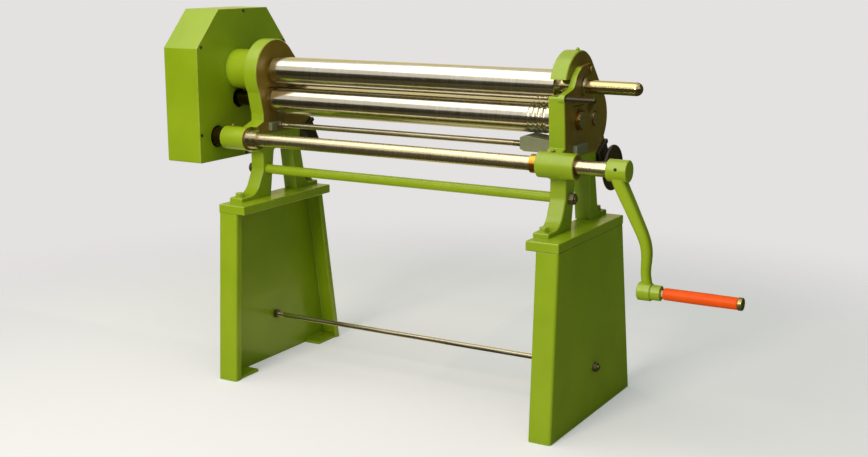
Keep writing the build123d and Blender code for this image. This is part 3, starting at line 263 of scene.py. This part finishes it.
def threaded_bar(name, ends, radius, thread, pitch, y, z, made):
    """A round bar along X with a true helical thread cut into both ends, as long as thread."""
    x0, x1 = ends
    around = 32
    rings_per_turn = 6
    depth = 0.6 * pitch
    stations = []
    for start in (x0, x1 - thread):
        steps = round(thread / pitch * rings_per_turn)
        stations += [start + thread * step / steps for step in range(steps + 1)]
    points = []
    for x in stations:
        threaded = x < x0 + thread - pitch or x > x1 - thread + pitch
        tip = min(1.0, min(x - x0, x1 - x) / (1.5 * pitch) + 0.1)
        for step in range(around):
            angle = 2 * math.pi * step / around
            phase = (x / pitch - step / around) % 1.0
            cut = depth * min(1.0, max(0.0, abs(2 * phase - 1) * 1.3 - 0.15)) if threaded else 0.0
            reach = radius - cut - depth * (1 - tip)
            points.append((x, y + reach * math.cos(angle), z + reach * math.sin(angle)))
    faces = joined_rings(len(stations), around) + flat_ends(len(stations), around)
    return solid_from(name, points, faces, made, 50)


# Bright drawn steel: the die leaves fine lines along the bar, and oil gives it a straw tint.
# The lines are a few tenths of a millimetre apart and are drawn 2 mm apart.
drawn_steel = brushed("drawn_steel", light="#DCD7C2", dark="#AAA389", film="#B8AE88",
                      scratch=(90 * mm, 2 * mm, 2 * mm), smooth=0.20, rough=0.34, depth=0.03 * mm,
                      corner=fine_corner)
tie_bar = threaded_bar("lower_tie_bar", (-tie_end, tie_end), tie_r, tie_thread, tie_pitch, tie_y, tie_z,
                       drawn_steel)
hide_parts("lower_tie_rod")
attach(tie_bar, "machine_frame")

# Blackened steel: a brown-black oxide film, oily and uneven, with bare metal rubbed through on corners,
# which a painted highlight lightens as well.
blackened = brushed("blackened_steel", light="#9A8E6C", dark="#4C4430", film="#5E5232",
                    scratch=(9 * mm, 9 * mm, 9 * mm), smooth=0.30, rough=0.50, depth=0.08 * mm, metal=0.7)
wear("lower_tie_nuts", blackened)

# Side frames: two heavy grey-iron castings that stand on the caps. Their flat sides are faced on
# a boring mill round the rolls' bores and stay bare above the legs; all else is enamelled.
left_face_x, right_face_x = -stand_out, 533 * mm
top_roll_z = 975 * mm
shaft_y, shaft_z = -115.93 * mm, 764 * mm
boss_bare_r, boss_paint_r = 36 * mm, 36.5 * mm
side_paint_z, side_bare_z = 776 * mm, 782 * mm

# Enamel on cast iron: the same film over the grain that the mould's sand left. The real grain is about
# 1 mm across, and it is drawn 9 mm across, because finer grain doesn't show.
cast_enamel = enamel("enamel_on_cast_iron", coat="#97AF18", deep="#8BA50E", thin_film_and_highlight="#BFCB5C",
                     dusty="#6A8A04", grain_size=9 * mm, grain_depth=0.5 * mm, rough=0.33)


def bare_where(made, mask_of, light, dark, smooth, rough):
    """Takes the enamel off a painted finish where mask_of says, down to faced iron. Facing leaves
    rings round the top roll's bore, drawn 7 mm apart, because the real ones are under 1 mm."""
    ring_spacing = 7 * mm
    stain_size = 60 * mm
    tree = made.node_tree
    shader = tree.nodes["Principled BSDF"]
    place = add(tree, "TexCoord").outputs["Object"]
    facing = add(tree, "TexCoord").outputs["Normal"]
    mask = mask_of(tree, place, facing)
    centred = add(tree, "VectorMath", {0: place, 1: (0, 0, top_roll_z)}, operation="SUBTRACT").outputs[0]
    rings = add(tree, "TexWave", {"Vector": centred, "Scale": 2 * math.pi / 20 / ring_spacing,
                                  "Distortion": 0.6, "Detail": 2.0},
                wave_type="RINGS", rings_direction="X").outputs[1]
    stain = add(tree, "TexNoise", {"Vector": place, "Scale": 1 / stain_size, "Detail": 5.0}).outputs[0]
    tone = add(tree, "Math", {0: rings, 1: stain}, operation="MULTIPLY").outputs[0]
    iron = add(tree, "Mix", {0: tone, 6: linear(dark), 7: linear(light)}, data_type="RGBA").outputs[2]
    film = shader.inputs["Base Color"].links[0].from_socket
    both = add(tree, "Mix", {0: mask, 6: film, 7: iron}, data_type="RGBA").outputs[2]
    tree.links.new(both, shader.inputs["Base Color"])
    film = shader.inputs["Roughness"].links[0].from_socket
    dull = add(tree, "MapRange", {"Value": stain, "To Min": smooth, "To Max": rough}).outputs[0]
    both = add(tree, "Mix", {0: mask, 2: film, 3: dull}, data_type="FLOAT").outputs[0]
    tree.links.new(both, shader.inputs["Roughness"])
    skin = add(tree, "Math", {0: mask, 1: 0.4}, operation="MULTIPLY").outputs[0]
    tree.links.new(skin, shader.inputs["Metallic"])
    return made


def faced_sides(tree, place, facing):
    """1 on the frames' flat sides above the legs, and on the ends of the drive shaft's bosses."""
    ragged_size = 30 * mm
    ragged_by = 8 * mm
    across = add(tree, "SeparateXYZ", {0: facing}).outputs[0]
    across = add(tree, "Math", {0: across}, operation="ABSOLUTE").outputs[0]
    flat = add(tree, "MapRange", {"Value": across, "From Min": 0.97, "From Max": 0.99}).outputs[0]
    ragged = add(tree, "TexNoise", {"Vector": place, "Scale": 1 / ragged_size}).outputs[0]
    height = add(tree, "SeparateXYZ", {0: place}).outputs[2]
    height = add(tree, "Math", {0: ragged, 1: ragged_by, 2: height}, operation="MULTIPLY_ADD").outputs[0]
    high = add(tree, "MapRange", {"Value": height, "From Min": side_paint_z,
                                  "From Max": side_bare_z}).outputs[0]
    from_shaft = add(tree, "VectorMath", {0: place, 1: (0, -shaft_y, -shaft_z)}, operation="ADD").outputs[0]
    from_shaft = add(tree, "VectorMath", {0: from_shaft, 1: (0, 1, 1)}, operation="MULTIPLY").outputs[0]
    away = add(tree, "VectorMath", {0: from_shaft}, operation="LENGTH").outputs["Value"]
    boss = add(tree, "MapRange", {"Value": away, "From Min": boss_paint_r,
                                  "From Max": boss_bare_r}).outputs[0]
    zone = add(tree, "Math", {0: high, 1: boss}, operation="MAXIMUM").outputs[0]
    return add(tree, "Math", {0: flat, 1: zone}, operation="MULTIPLY").outputs[0]


frame_finish = bare_where(cast_enamel.copy(), faced_sides, light="#C0A23C", dark="#80661E",
                          smooth=0.30, rough=0.48)
frame_finish.name = "enamelled_casting_with_faced_sides"
wear("left_side_frame", frame_finish)
wear("right_side_frame", frame_finish)

# Cast fillet: the round inside corner that the mould left where the left frame runs out into the long
# housing of the top roll. It belongs to the casting and has the same enamel.
housing_r = 65 * mm
fillet_r = 11 * mm
fillet_sunk = 1 * mm


def turned(name, profile, y, z, made):
    """A piece turned about a line along X. The profile lists (x, radius) once round its section, out
    along its outside and back along its bore to where it starts."""
    around = 96
    points = []
    for x, reach in profile:
        for step in range(around):
            angle = 2 * math.pi * step / around
            points.append((x, y + reach * math.cos(angle), z + reach * math.sin(angle)))
    return solid_from(name, points, joined_rings(len(profile), around), made)


bend = [math.pi / 2 * step / 8 for step in range(9)]
curve = [(left_face_x - fillet_r, housing_r - fillet_sunk)]
curve += [(left_face_x - fillet_r * (1 - math.sin(turn)), housing_r + fillet_r * (1 - math.cos(turn)))
          for turn in bend]
curve += [(left_face_x + fillet_sunk, housing_r + fillet_r)]
curve += [(left_face_x + fillet_sunk, housing_r - fillet_sunk), curve[0]]
fillet = turned("housing_cast_fillet", curve, 0, top_roll_z, cast_enamel)
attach(fillet, "machine_frame")

# Oil nipples: small brass ball oilers, one in the left boss and one in the right head. The one in
# the head was sprayed over with the casting, and the other is bare, dull and straw-coloured.
nipple_paint_z, nipple_bare_z = 910 * mm, 900 * mm


def left_bare(tree, place, facing):
    """1 on the nipple of the boss, below the head."""
    height = add(tree, "SeparateXYZ", {0: place}).outputs[2]
    return add(tree, "MapRange", {"Value": height, "From Min": nipple_paint_z,
                                  "From Max": nipple_bare_z}).outputs[0]


nipple_finish = bare_where(cast_enamel.copy(), left_bare, light="#C0A050", dark="#7E6228",
                           smooth=0.25, rough=0.42)
nipple_finish.name = "brass_with_overspray"
wear("oil_nipples", nipple_finish)

# Foot bolts: hexagon bolts with plain washers hold the frames' feet on the caps. They were in place
# when the machine was sprayed, so they are as green as the castings.
wear("frame_foot_bolts", cast_enamel)
wear("frame_foot_washers", cast_enamel)

# Upper tie rod: a 30 mm bar between the frames, shouldered and threaded at both ends. It was
# sprayed with the frames, and its nuts, put on afterwards, are blackened. Over smooth bar the
# enamel is finer and shinier.
bar_enamel = enamel("enamel_on_bar", coat="#99B11A", deep="#8FA910", thin_film_and_highlight="#C2CE60", dusty="#6C8C06",
                    grain_size=6 * mm, grain_depth=0.15 * mm, rough=0.26)


def thread_ends(tree, place, facing):
    """1 outside the frames, where the rod's threads are bare."""
    along = add(tree, "SeparateXYZ", {0: place}).outputs[0]
    along = add(tree, "MapRange", {"Value": along, "From Min": left_face_x, "From Max": right_face_x,
                                   "To Min": -1.0, "To Max": 1.0}, clamp=False).outputs[0]
    along = add(tree, "Math", {0: along}, operation="ABSOLUTE").outputs[0]
    return add(tree, "MapRange", {"Value": along, "From Min": 1.0, "From Max": 1.001}).outputs[0]


rod_finish = bare_where(bar_enamel.copy(), thread_ends, light="#8B8468", dark="#3F3A2C",
                        smooth=0.30, rough=0.45)
rod_finish.name = "enamelled_bar_with_bare_threads"
wear("upper_tie_rod", rod_finish)
wear("upper_tie_nuts", blackened)

# Bushes: bronze sleeves pressed into the bosses, the housing and the sliding bearing blocks.
# They are bored and faced, so fine rings run round them.
bronze = brushed("turned_bronze", light="#C99A4A", dark="#8F6428", film="#7A5A2A",
                 scratch=(1.5 * mm, 12 * mm, 12 * mm), smooth=0.24, rough=0.42, depth=0.05 * mm)
for node in ("drive_shaft_bushes", "top_roll_bush", "lower_roll_bushes", "rear_roll_bushes"):
    wear(node, bronze)

# Gear cover: a shell folded from 2.5 mm sheet over the gears, screwed to a flat back plate that
# is fixed to the top roll's housing. Both are sprayed with the sheet enamel.
wear("gear_cover_shell", sheet_enamel)
wear("gear_cover_plate", sheet_enamel)

# Zinc plate: a pale grey film with a faint straw tint, on the screws that hold the plate.
zinc = brushed("zinc_plated_steel", light="#B9B6A2", dark="#86836F", film="#9A936F",
               scratch=(12 * mm, 12 * mm, 12 * mm), smooth=0.28, rough=0.46, depth=0.05 * mm)
wear("cover_plate_screws", zinc)

# The cover's screws: slotted cheese-head screws with a rounded top, all round the edge. They are black
# with oxide, and darker than the nuts. Their places are Y and Z in millimetres, and each slot
# stands at an angle of its own.
plate_x = -685 * mm
screw_places = [(33, 1162), (28.5, 694), (-186, 1055), (245, 1055), (-197, 776), (254, 776)]
screw_r = 5.1 * mm
screw_h = 3 * mm
slot_half = 0.2 * screw_r
slot_depth = 0.45 * screw_h
screw_around = 24
screw_rings = [(0.0, screw_r), (0.55 * screw_h, screw_r), (0.85 * screw_h, 0.82 * screw_r),
               (screw_h, 0.45 * screw_r)]
points, faces = [], []
for y, z in screw_places:
    lean = math.radians(20 + y)
    first = len(points)
    for rise, reach in screw_rings:
        for step in range(screw_around):
            angle = 2 * math.pi * step / screw_around
            in_slot = abs(reach * math.sin(angle)) < slot_half and rise > 0.8 * screw_h
            sunk = slot_depth if in_slot else 0.0
            turn = angle + lean
            points.append((plate_x + rise - sunk, y * mm + reach * math.cos(turn),
                           z * mm + reach * math.sin(turn)))
    middle = len(points)
    points.append((plate_x + 0.55 * screw_h, y * mm, z * mm))
    faces += joined_rings(len(screw_rings), screw_around, first)
    top = first + (len(screw_rings) - 1) * screw_around
    faces += [(top + step, top + (step + 1) % screw_around, middle) for step in range(screw_around)]
oxide = brushed("black_oxide_steel", light="#5A5040", dark="#241F18", film="#30281A",
                scratch=(6 * mm, 6 * mm, 6 * mm), smooth=0.32, rough=0.5, depth=0.05 * mm, metal=0.6)
screws = solid_from("cover_screw_heads", points, faces, oxide, 30)
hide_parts("gear_cover_screws")
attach(screws, "machine_frame")

# Gears: cut from steel blanks and run in grease under the cover, on keys and behind rings.
# The hobbed flanks are bright, and the grease darkens the rest.
cut_steel = brushed("cut_gear_steel", light="#A7A08A", dark="#6B6450", film="#5A4E2E",
                    scratch=(4 * mm, 4 * mm, 4 * mm), smooth=0.25, rough=0.5, depth=0.05 * mm)
for node in ("lower_roll_gear", "main_gear", "top_roll_gear", "drive_pinion", "lower_roll_key",
             "top_roll_key", "pinion_key", "lower_gear_ring", "top_gear_ring"):
    wear(node, cut_steel)

# Rolls: 90 mm forged steel, turned and then ground between centres, kept under a film of oil.
# Grinding leaves rings round them, tenths of a millimetre apart, drawn 3 mm apart.
ground_steel = brushed("ground_steel", light="#E8E5D8", dark="#C6C1AB", film="#D5CDB0",
                       scratch=(3 * mm, 70 * mm, 70 * mm), smooth=0.12, rough=0.22, depth=0.01 * mm,
                       corner=fine_corner)
wear("rear_roll", ground_steel)


def tinted_past(made, edge, way, tint):
    """The finish in another tint on all that lies past edge, to the right if way is 1 or the left if -1."""
    tree = made.node_tree
    shader = tree.nodes["Principled BSDF"]
    along = add(tree, "SeparateXYZ", {0: add(tree, "TexCoord").outputs["Object"]}).outputs[0]
    past = add(tree, "MapRange", {"Value": along, "From Min": edge, "From Max": edge + way * mm}).outputs[0]
    clean = shader.inputs["Base Color"].links[0].from_socket
    both = add(tree, "Mix", {0: past, 6: clean, 7: linear(tint)}, data_type="RGBA").outputs[2]
    tree.links.new(both, shader.inputs["Base Color"])
    return made


# The free nose of the top roll is tinted straw, a painted reflection of the brown round it, and the lower
# roll's end behind the left frame is dark brown.
nose_from_x = 480 * mm
dark_end_x = left_face_x - 1 * mm
top_roll_finish = tinted_past(ground_steel.copy(), nose_from_x, 1, "#BFB180")
top_roll_finish.name = "ground_steel_with_painted_nose_reflection"
wear("top_roll", top_roll_finish)
lower_roll_finish = tinted_past(ground_steel.copy(), dark_end_x, -1, "#4E3A1C")
lower_roll_finish.name = "ground_steel_with_dark_end"
wear("lower_roll", lower_roll_finish)

# Nose collar: a turned ring with a set screw on the top roll's free end. Turning leaves fine rings on
# it, drawn 8 mm apart, and an even film of oil makes it pale straw.
oiled_bar = brushed("oiled_turned_bar", light="#E0D7B4", dark="#CFC49C", film="#D3C8A0",
                    scratch=(8 * mm, 60 * mm, 60 * mm), smooth=0.26, rough=0.30, depth=0.002 * mm,
                    corner=fine_corner)
wear("nose_collar", oiled_bar)
wear("nose_collar_screw", blackened)

# Lower bearing blocks and wedges: machined iron blocks that slide in the frames' windows, on
# wedges joined by an 18 mm rod with a nut at each end. The blocks are brown with old oil, like the
# frames' sides, and the wedges are milled and left bare.
slide_iron = brushed("oiled_iron", light="#B09448", dark="#77602A", film="#8A7232",
                     scratch=(5 * mm, 5 * mm, 30 * mm), smooth=0.32, rough=0.5, depth=0.06 * mm, metal=0.4)
wear("lower_bearing_blocks", slide_iron)
milled_iron = brushed("milled_iron", light="#9CA284", dark="#6E745C", film="#7E8064",
                      scratch=(5 * mm, 5 * mm, 40 * mm), smooth=0.34, rough=0.5, depth=0.06 * mm, metal=0.4)
for node in ("left_wedge", "right_wedge"):
    wear(node, milled_iron)
rod_r = 9 * mm
rod_thread = 62 * mm
rod_pitch = 2.5 * mm
rod_low, rod_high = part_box("wedge_rod")
rod_z = (rod_low.z + rod_high.z) / 2
wedge_bar = threaded_bar("wedge_tie_bar", (rod_low.x, rod_high.x), rod_r, rod_thread, rod_pitch, 0, rod_z,
                         drawn_steel)
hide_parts("wedge_rod")
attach(wedge_bar, "wedge_set")
wear("wedge_nuts", blackened)

# Rear bearing blocks: iron blocks that slide in slanting slots in the frames, as brown with old oil as
# the lower ones.
wear("rear_bearing_blocks", slide_iron)

# Rear adjustment: screws turned by bevel gears in yokes that are bolted under the frames' pads, with one
# cross shaft through both. The yokes are castings in black enamel. It looks brown in corners, where dust
# lies, and along edges, where it is thin and where a painted highlight lightens it.
black_enamel = enamel("black_enamel_on_cast_iron", coat="#2A1E16", deep="#33251A", thin_film_and_highlight="#66553C",
                      dusty="#3A2A1C", grain_size=6 * mm, grain_depth=0.4 * mm, rough=0.32)
wear("screw_yokes", black_enamel)
wear("yoke_bolts", blackened)
for node in ("left_adjusting_screw", "right_adjusting_screw", "cross_shaft_bevels"):
    wear(node, cut_steel)
wear("cross_shaft", drawn_steel)

# Handwheel: a cast-iron wheel with a round rim and a plain web, in the same black enamel. It is
# pinned to the end of the cross shaft.
wear("handwheel", black_enamel)

# Drive shaft: 42 mm bar that runs through the two long bosses to the crank. It is turned, not ground,
# so it is duller than the rolls, and the oil on it has gone to the colour of straw.
wear("drive_shaft", oiled_bar)

# Collars: turned rings on the drive shaft. The one by the pinion is dark brown steel, the one at the left
# boss is clean steel, and the one at the right boss is bronze.
dark_collar_x = -640 * mm
bronze_collar_x = 300 * mm
collar_metal = brushed("turned_collars", light="#DDD4B0", dark="#BDB28C", film="#C3B78E",
                       scratch=(6 * mm, 60 * mm, 60 * mm), smooth=0.22, rough=0.32, depth=0.006 * mm,
                       corner=fine_corner)
tinted_past(collar_metal, dark_collar_x, -1, "#4E3E22")
tinted_past(collar_metal, bronze_collar_x, 1, "#D79A3C")
wear("shaft_collars", collar_metal)

# Crank: one forging with a hub on the shaft, an arm that slopes out and drops, and a boss for the
# handle. It is enamelled all over, and a socket screw in the hub holds it on the shaft.
wear("crank_arm", bar_enamel)
wear("crank_set_screw", oxide)

# Handle: a fixed spindle with a cream collar, a grip that turns on it, and a brass end nut, turned and
# gone dull. The grip is moulded in two halves of a die in hard orange plastic.
brass = brushed("turned_brass", light="#B0A56C", dark="#7A7044", film="#80743F",
                scratch=(1.2 * mm, 8 * mm, 8 * mm), smooth=0.26, rough=0.42, depth=0.04 * mm, metal=0.8)
wear("handle_spindle", drawn_steel)
wear("handle_end_nut", brass)


def moulded(name, body, deep, rubbed, rough):
    """Moulded plastic: an even body colour with faint flow lines along X, duller where hands rub it."""
    flow_size = (120 * mm, 9 * mm, 9 * mm)
    rubbed_size = 40 * mm
    speck_size = 2.5 * mm
    speck_depth = 0.06 * mm
    made, tree, shader = finish_named(name)
    place = add(tree, "TexCoord").outputs["Object"]
    flow_scale = [1 / size for size in flow_size]
    drawn_out = add(tree, "Mapping", {"Vector": place, "Scale": flow_scale}).outputs[0]
    flow = add(tree, "TexNoise", {"Vector": drawn_out, "Scale": 1.0, "Detail": 3.0}).outputs[0]
    colour = add(tree, "Mix", {0: flow, 6: linear(body), 7: linear(deep)}, data_type="RGBA").outputs[2]
    handled = add(tree, "TexNoise", {"Vector": place, "Scale": 1 / rubbed_size, "Detail": 4.0}).outputs[0]
    dull = add(tree, "MapRange", {"Value": handled, "From Min": 0.45, "From Max": 0.75,
                                  "To Max": 0.35}).outputs[0]
    colour = add(tree, "Mix", {0: dull, 6: colour, 7: linear(rubbed)}, data_type="RGBA").outputs[2]
    tree.links.new(colour, shader.inputs["Base Color"])
    gloss = add(tree, "MapRange", {"Value": handled, "To Min": rough - 0.08,
                                   "To Max": rough + 0.14}).outputs[0]
    tree.links.new(gloss, shader.inputs["Roughness"])
    speck = add(tree, "TexNoise", {"Vector": place, "Scale": 1 / speck_size}).outputs[0]
    bump = add(tree, "Bump", {"Height": speck, "Distance": speck_depth})
    tree.links.new(bump.outputs[0], shader.inputs["Normal"])
    shader.inputs["Specular IOR Level"].default_value = 0.2
    return made


cream_plastic = moulded("cream_plastic", body="#D9CFA6", deep="#C9BC8C", rubbed="#B9AE84", rough=0.4)
wear("handle_ferrule", cream_plastic)
orange_plastic = moulded("orange_hard_plastic", body="#FA5C00", deep="#EE4E00", rubbed="#F86A0C",
                         rough=0.42)
grip_low, grip_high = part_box("crank_grip")
grip_y = (grip_low.y + grip_high.y) / 2
grip_z = (grip_low.z + grip_high.z) / 2
grip_r = (grip_high.y - grip_low.y) / 2
grip_length = grip_high.x - grip_low.x
bore_r = 8.1 * mm

# The grip's outline, in shares of its length and of its radius: both ends are rounded off, and it
# swells a little towards the middle.
round_end = [(0.0, 0.84), (0.006, 0.92), (0.016, 0.965)]
swell_steps = 12
swell_start, swell_share = 0.05, 0.9
swell_r, swell_by = 0.975, 0.025
shape = list(round_end)
for step in range(swell_steps + 1):
    reach = swell_r + swell_by * math.sin(math.pi * step / swell_steps)
    shape.append((swell_start + swell_share * step / swell_steps, reach))
shape += [(1 - share, reach) for share, reach in reversed(round_end)]
outline = [(grip_low.x, bore_r)]
outline += [(grip_low.x + grip_length * share, reach * grip_r) for share, reach in shape]
outline += [(grip_high.x, bore_r), (grip_low.x, bore_r)]
grip = turned("moulded_grip", outline, grip_y, grip_z, orange_plastic)
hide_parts("crank_grip")
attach(grip, "grip_set")

# Latch: a hooked plate that closes the slot over the top roll's journal, cut from thick plate. Only
# its front edge is enamelled, and the rest is bare. A blackened bar through its lip lifts it.
hook_paint_y, hook_bare_y = -26 * mm, -18 * mm


def latch_sides(tree, place, facing):
    """1 on the plate's two flat sides and on its edge behind the hook."""
    across = add(tree, "SeparateXYZ", {0: facing}).outputs[0]
    across = add(tree, "Math", {0: across}, operation="ABSOLUTE").outputs[0]
    flat = add(tree, "MapRange", {"Value": across, "From Min": 0.97, "From Max": 0.99}).outputs[0]
    depth = add(tree, "SeparateXYZ", {0: place}).outputs[1]
    behind = add(tree, "MapRange", {"Value": depth, "From Min": hook_paint_y,
                                    "From Max": hook_bare_y}).outputs[0]
    return add(tree, "Math", {0: flat, 1: behind}, operation="MAXIMUM").outputs[0]


latch_finish = bare_where(cast_enamel.copy(), latch_sides, light="#B09040", dark="#765C26",
                          smooth=0.30, rough=0.48)
latch_finish.name = "latch_plate_with_enamelled_edge"
wear("top_roll_latch", latch_finish)
wear("latch_handle", oxide)
wear("latch_pin", slide_iron)
wear("latch_stop_pin", drawn_steel)

# Floor: a plain pale studio floor that fades into the pale background round it. It is lifted towards
# the background's tone for the camera alone, and keeps the machine's shadow.
compass = 64
floor_r = 9.0
fade_from, fade_to = 1.2, 2.8
camera_lift = 0.36
round_floor = [2 * math.pi * step / compass for step in range(compass)]
points = [(floor_r * math.cos(turn), floor_r * math.sin(turn), 0) for turn in round_floor]
floor_finish, tree, shader = finish_named("painted_studio_floor")
place = add(tree, "TexCoord").outputs["Object"]
away = add(tree, "VectorMath", {0: place}, operation="LENGTH").outputs["Value"]
fade = add(tree, "MapRange", {"Value": away, "From Min": fade_from, "From Max": fade_to},
           interpolation_type="SMOOTHSTEP").outputs[0]
shader.inputs["Base Color"].default_value = linear("#DCD9DF")
shader.inputs["Roughness"].default_value = 0.8
shader.inputs["Emission Color"].default_value = linear("#E0E1E6")
seen = add(tree, "LightPath").outputs["Is Camera Ray"]
lift = add(tree, "Math", {0: seen, 1: camera_lift}, operation="MULTIPLY").outputs[0]
tree.links.new(lift, shader.inputs["Emission Strength"])
clear = add(tree, "BsdfTransparent").outputs[0]
mixed = add(tree, "MixShader", {0: fade, 1: shader.outputs[0], 2: clear}).outputs[0]
tree.links.new(mixed, tree.nodes["Material Output"].inputs["Surface"])
floor = solid_from("studio_floor", points, [tuple(range(compass))], floor_finish)

# Flags: cards that only reflections see. Each glows faintly in its own colour, the straw one most, so that
# they stand in the metal as painted reflections. A low dark one stands round the front, so that the rolls
# are dark below and bright above. Behind stand two taller ones, straw-coloured at the left and dark at the
# right.
card_reach = 2.7
card_foot = 0.004


def studio_card(name, first, last, height, colour, glow):
    """A card on the floor and up a wall, bent round the machine from one compass step to another."""
    made, tree, shader = finish_named(name + "_face")
    shader.inputs["Base Color"].default_value = linear(colour)
    shader.inputs["Roughness"].default_value = 0.9
    shader.inputs["Emission Color"].default_value = linear(colour)
    shader.inputs["Emission Strength"].default_value = glow
    turns = [2 * math.pi * step / compass for step in range(first, last + 1)]
    wall = [(card_reach * math.cos(turn), card_reach * math.sin(turn)) for turn in turns]
    points = [(x, y, card_foot) for x, y in wall]
    points += [(x, y, height) for x, y in wall] + [(0, 0, card_foot)]
    count = len(turns)
    faces = [(step, step + 1, count + step + 1, count + step) for step in range(count - 1)]
    faces += [(2 * count, step, step + 1) for step in range(count - 1)]
    card = solid_from(name, points, faces, made)
    card.visible_camera = False
    card.visible_diffuse = False
    card.visible_shadow = False
    card.visible_transmission = False


studio_card("dark_front_card", 32, 64, height=1.40, colour="#3C3720", glow=0.04)
studio_card("straw_back_card", 17, 32, height=3.6, colour="#C9BD92", glow=0.54)
studio_card("dark_back_card", 0, 17, height=3.4, colour="#4A4A20", glow=0.02)

# Light: one large softbox overhead and one in front, a little to the left, both slightly warm.
aim = Vector((0, 0, 0.85))
for name, spot, size, watts in (("overhead_softbox", (-0.5, -0.9, 3.1), (3.4, 2.6), 48),
                                ("front_softbox", (-0.14, -5.88, 3.3), (1.96, 3.08), 259)):
    lamp = bpy.data.lights.new(name, "AREA")
    lamp.shape = "RECTANGLE"
    lamp.size, lamp.size_y = size
    lamp.energy = watts
    lamp.color = linear("#FFF6E8")[:3]
    holder = bpy.data.objects.new(name, lamp)
    holder.location = spot
    holder.rotation_euler = (aim - Vector(spot)).to_track_quat("-Z", "Y").to_euler()
    bpy.context.scene.collection.objects.link(holder)

# Room: a dim and slightly green room for the shade, and a pale backdrop that the camera and bare
# metal see.
world = bpy.data.worlds.new("pale_studio")
world.use_nodes = True
tree = world.node_tree
seen = add(tree, "LightPath").outputs
straight = add(tree, "Math", {0: seen["Is Camera Ray"], 1: seen["Is Glossy Ray"]},
               operation="MAXIMUM").outputs[0]
straight = add(tree, "Math", {0: straight, 1: seen["Is Transmission Ray"]}, operation="MAXIMUM").outputs[0]
room = add(tree, "Background", {"Color": linear("#D9F2D8"), "Strength": 0.28}).outputs[0]
backdrop = add(tree, "Background", {"Color": linear("#E4E1E1"), "Strength": 1.0}).outputs[0]
mixed = add(tree, "MixShader", {0: straight, 1: room, 2: backdrop}).outputs[0]
tree.links.new(mixed, tree.nodes["World Output"].inputs["Surface"])
bpy.context.scene.world = world
bpy.context.scene.view_settings.view_transform = "Standard"
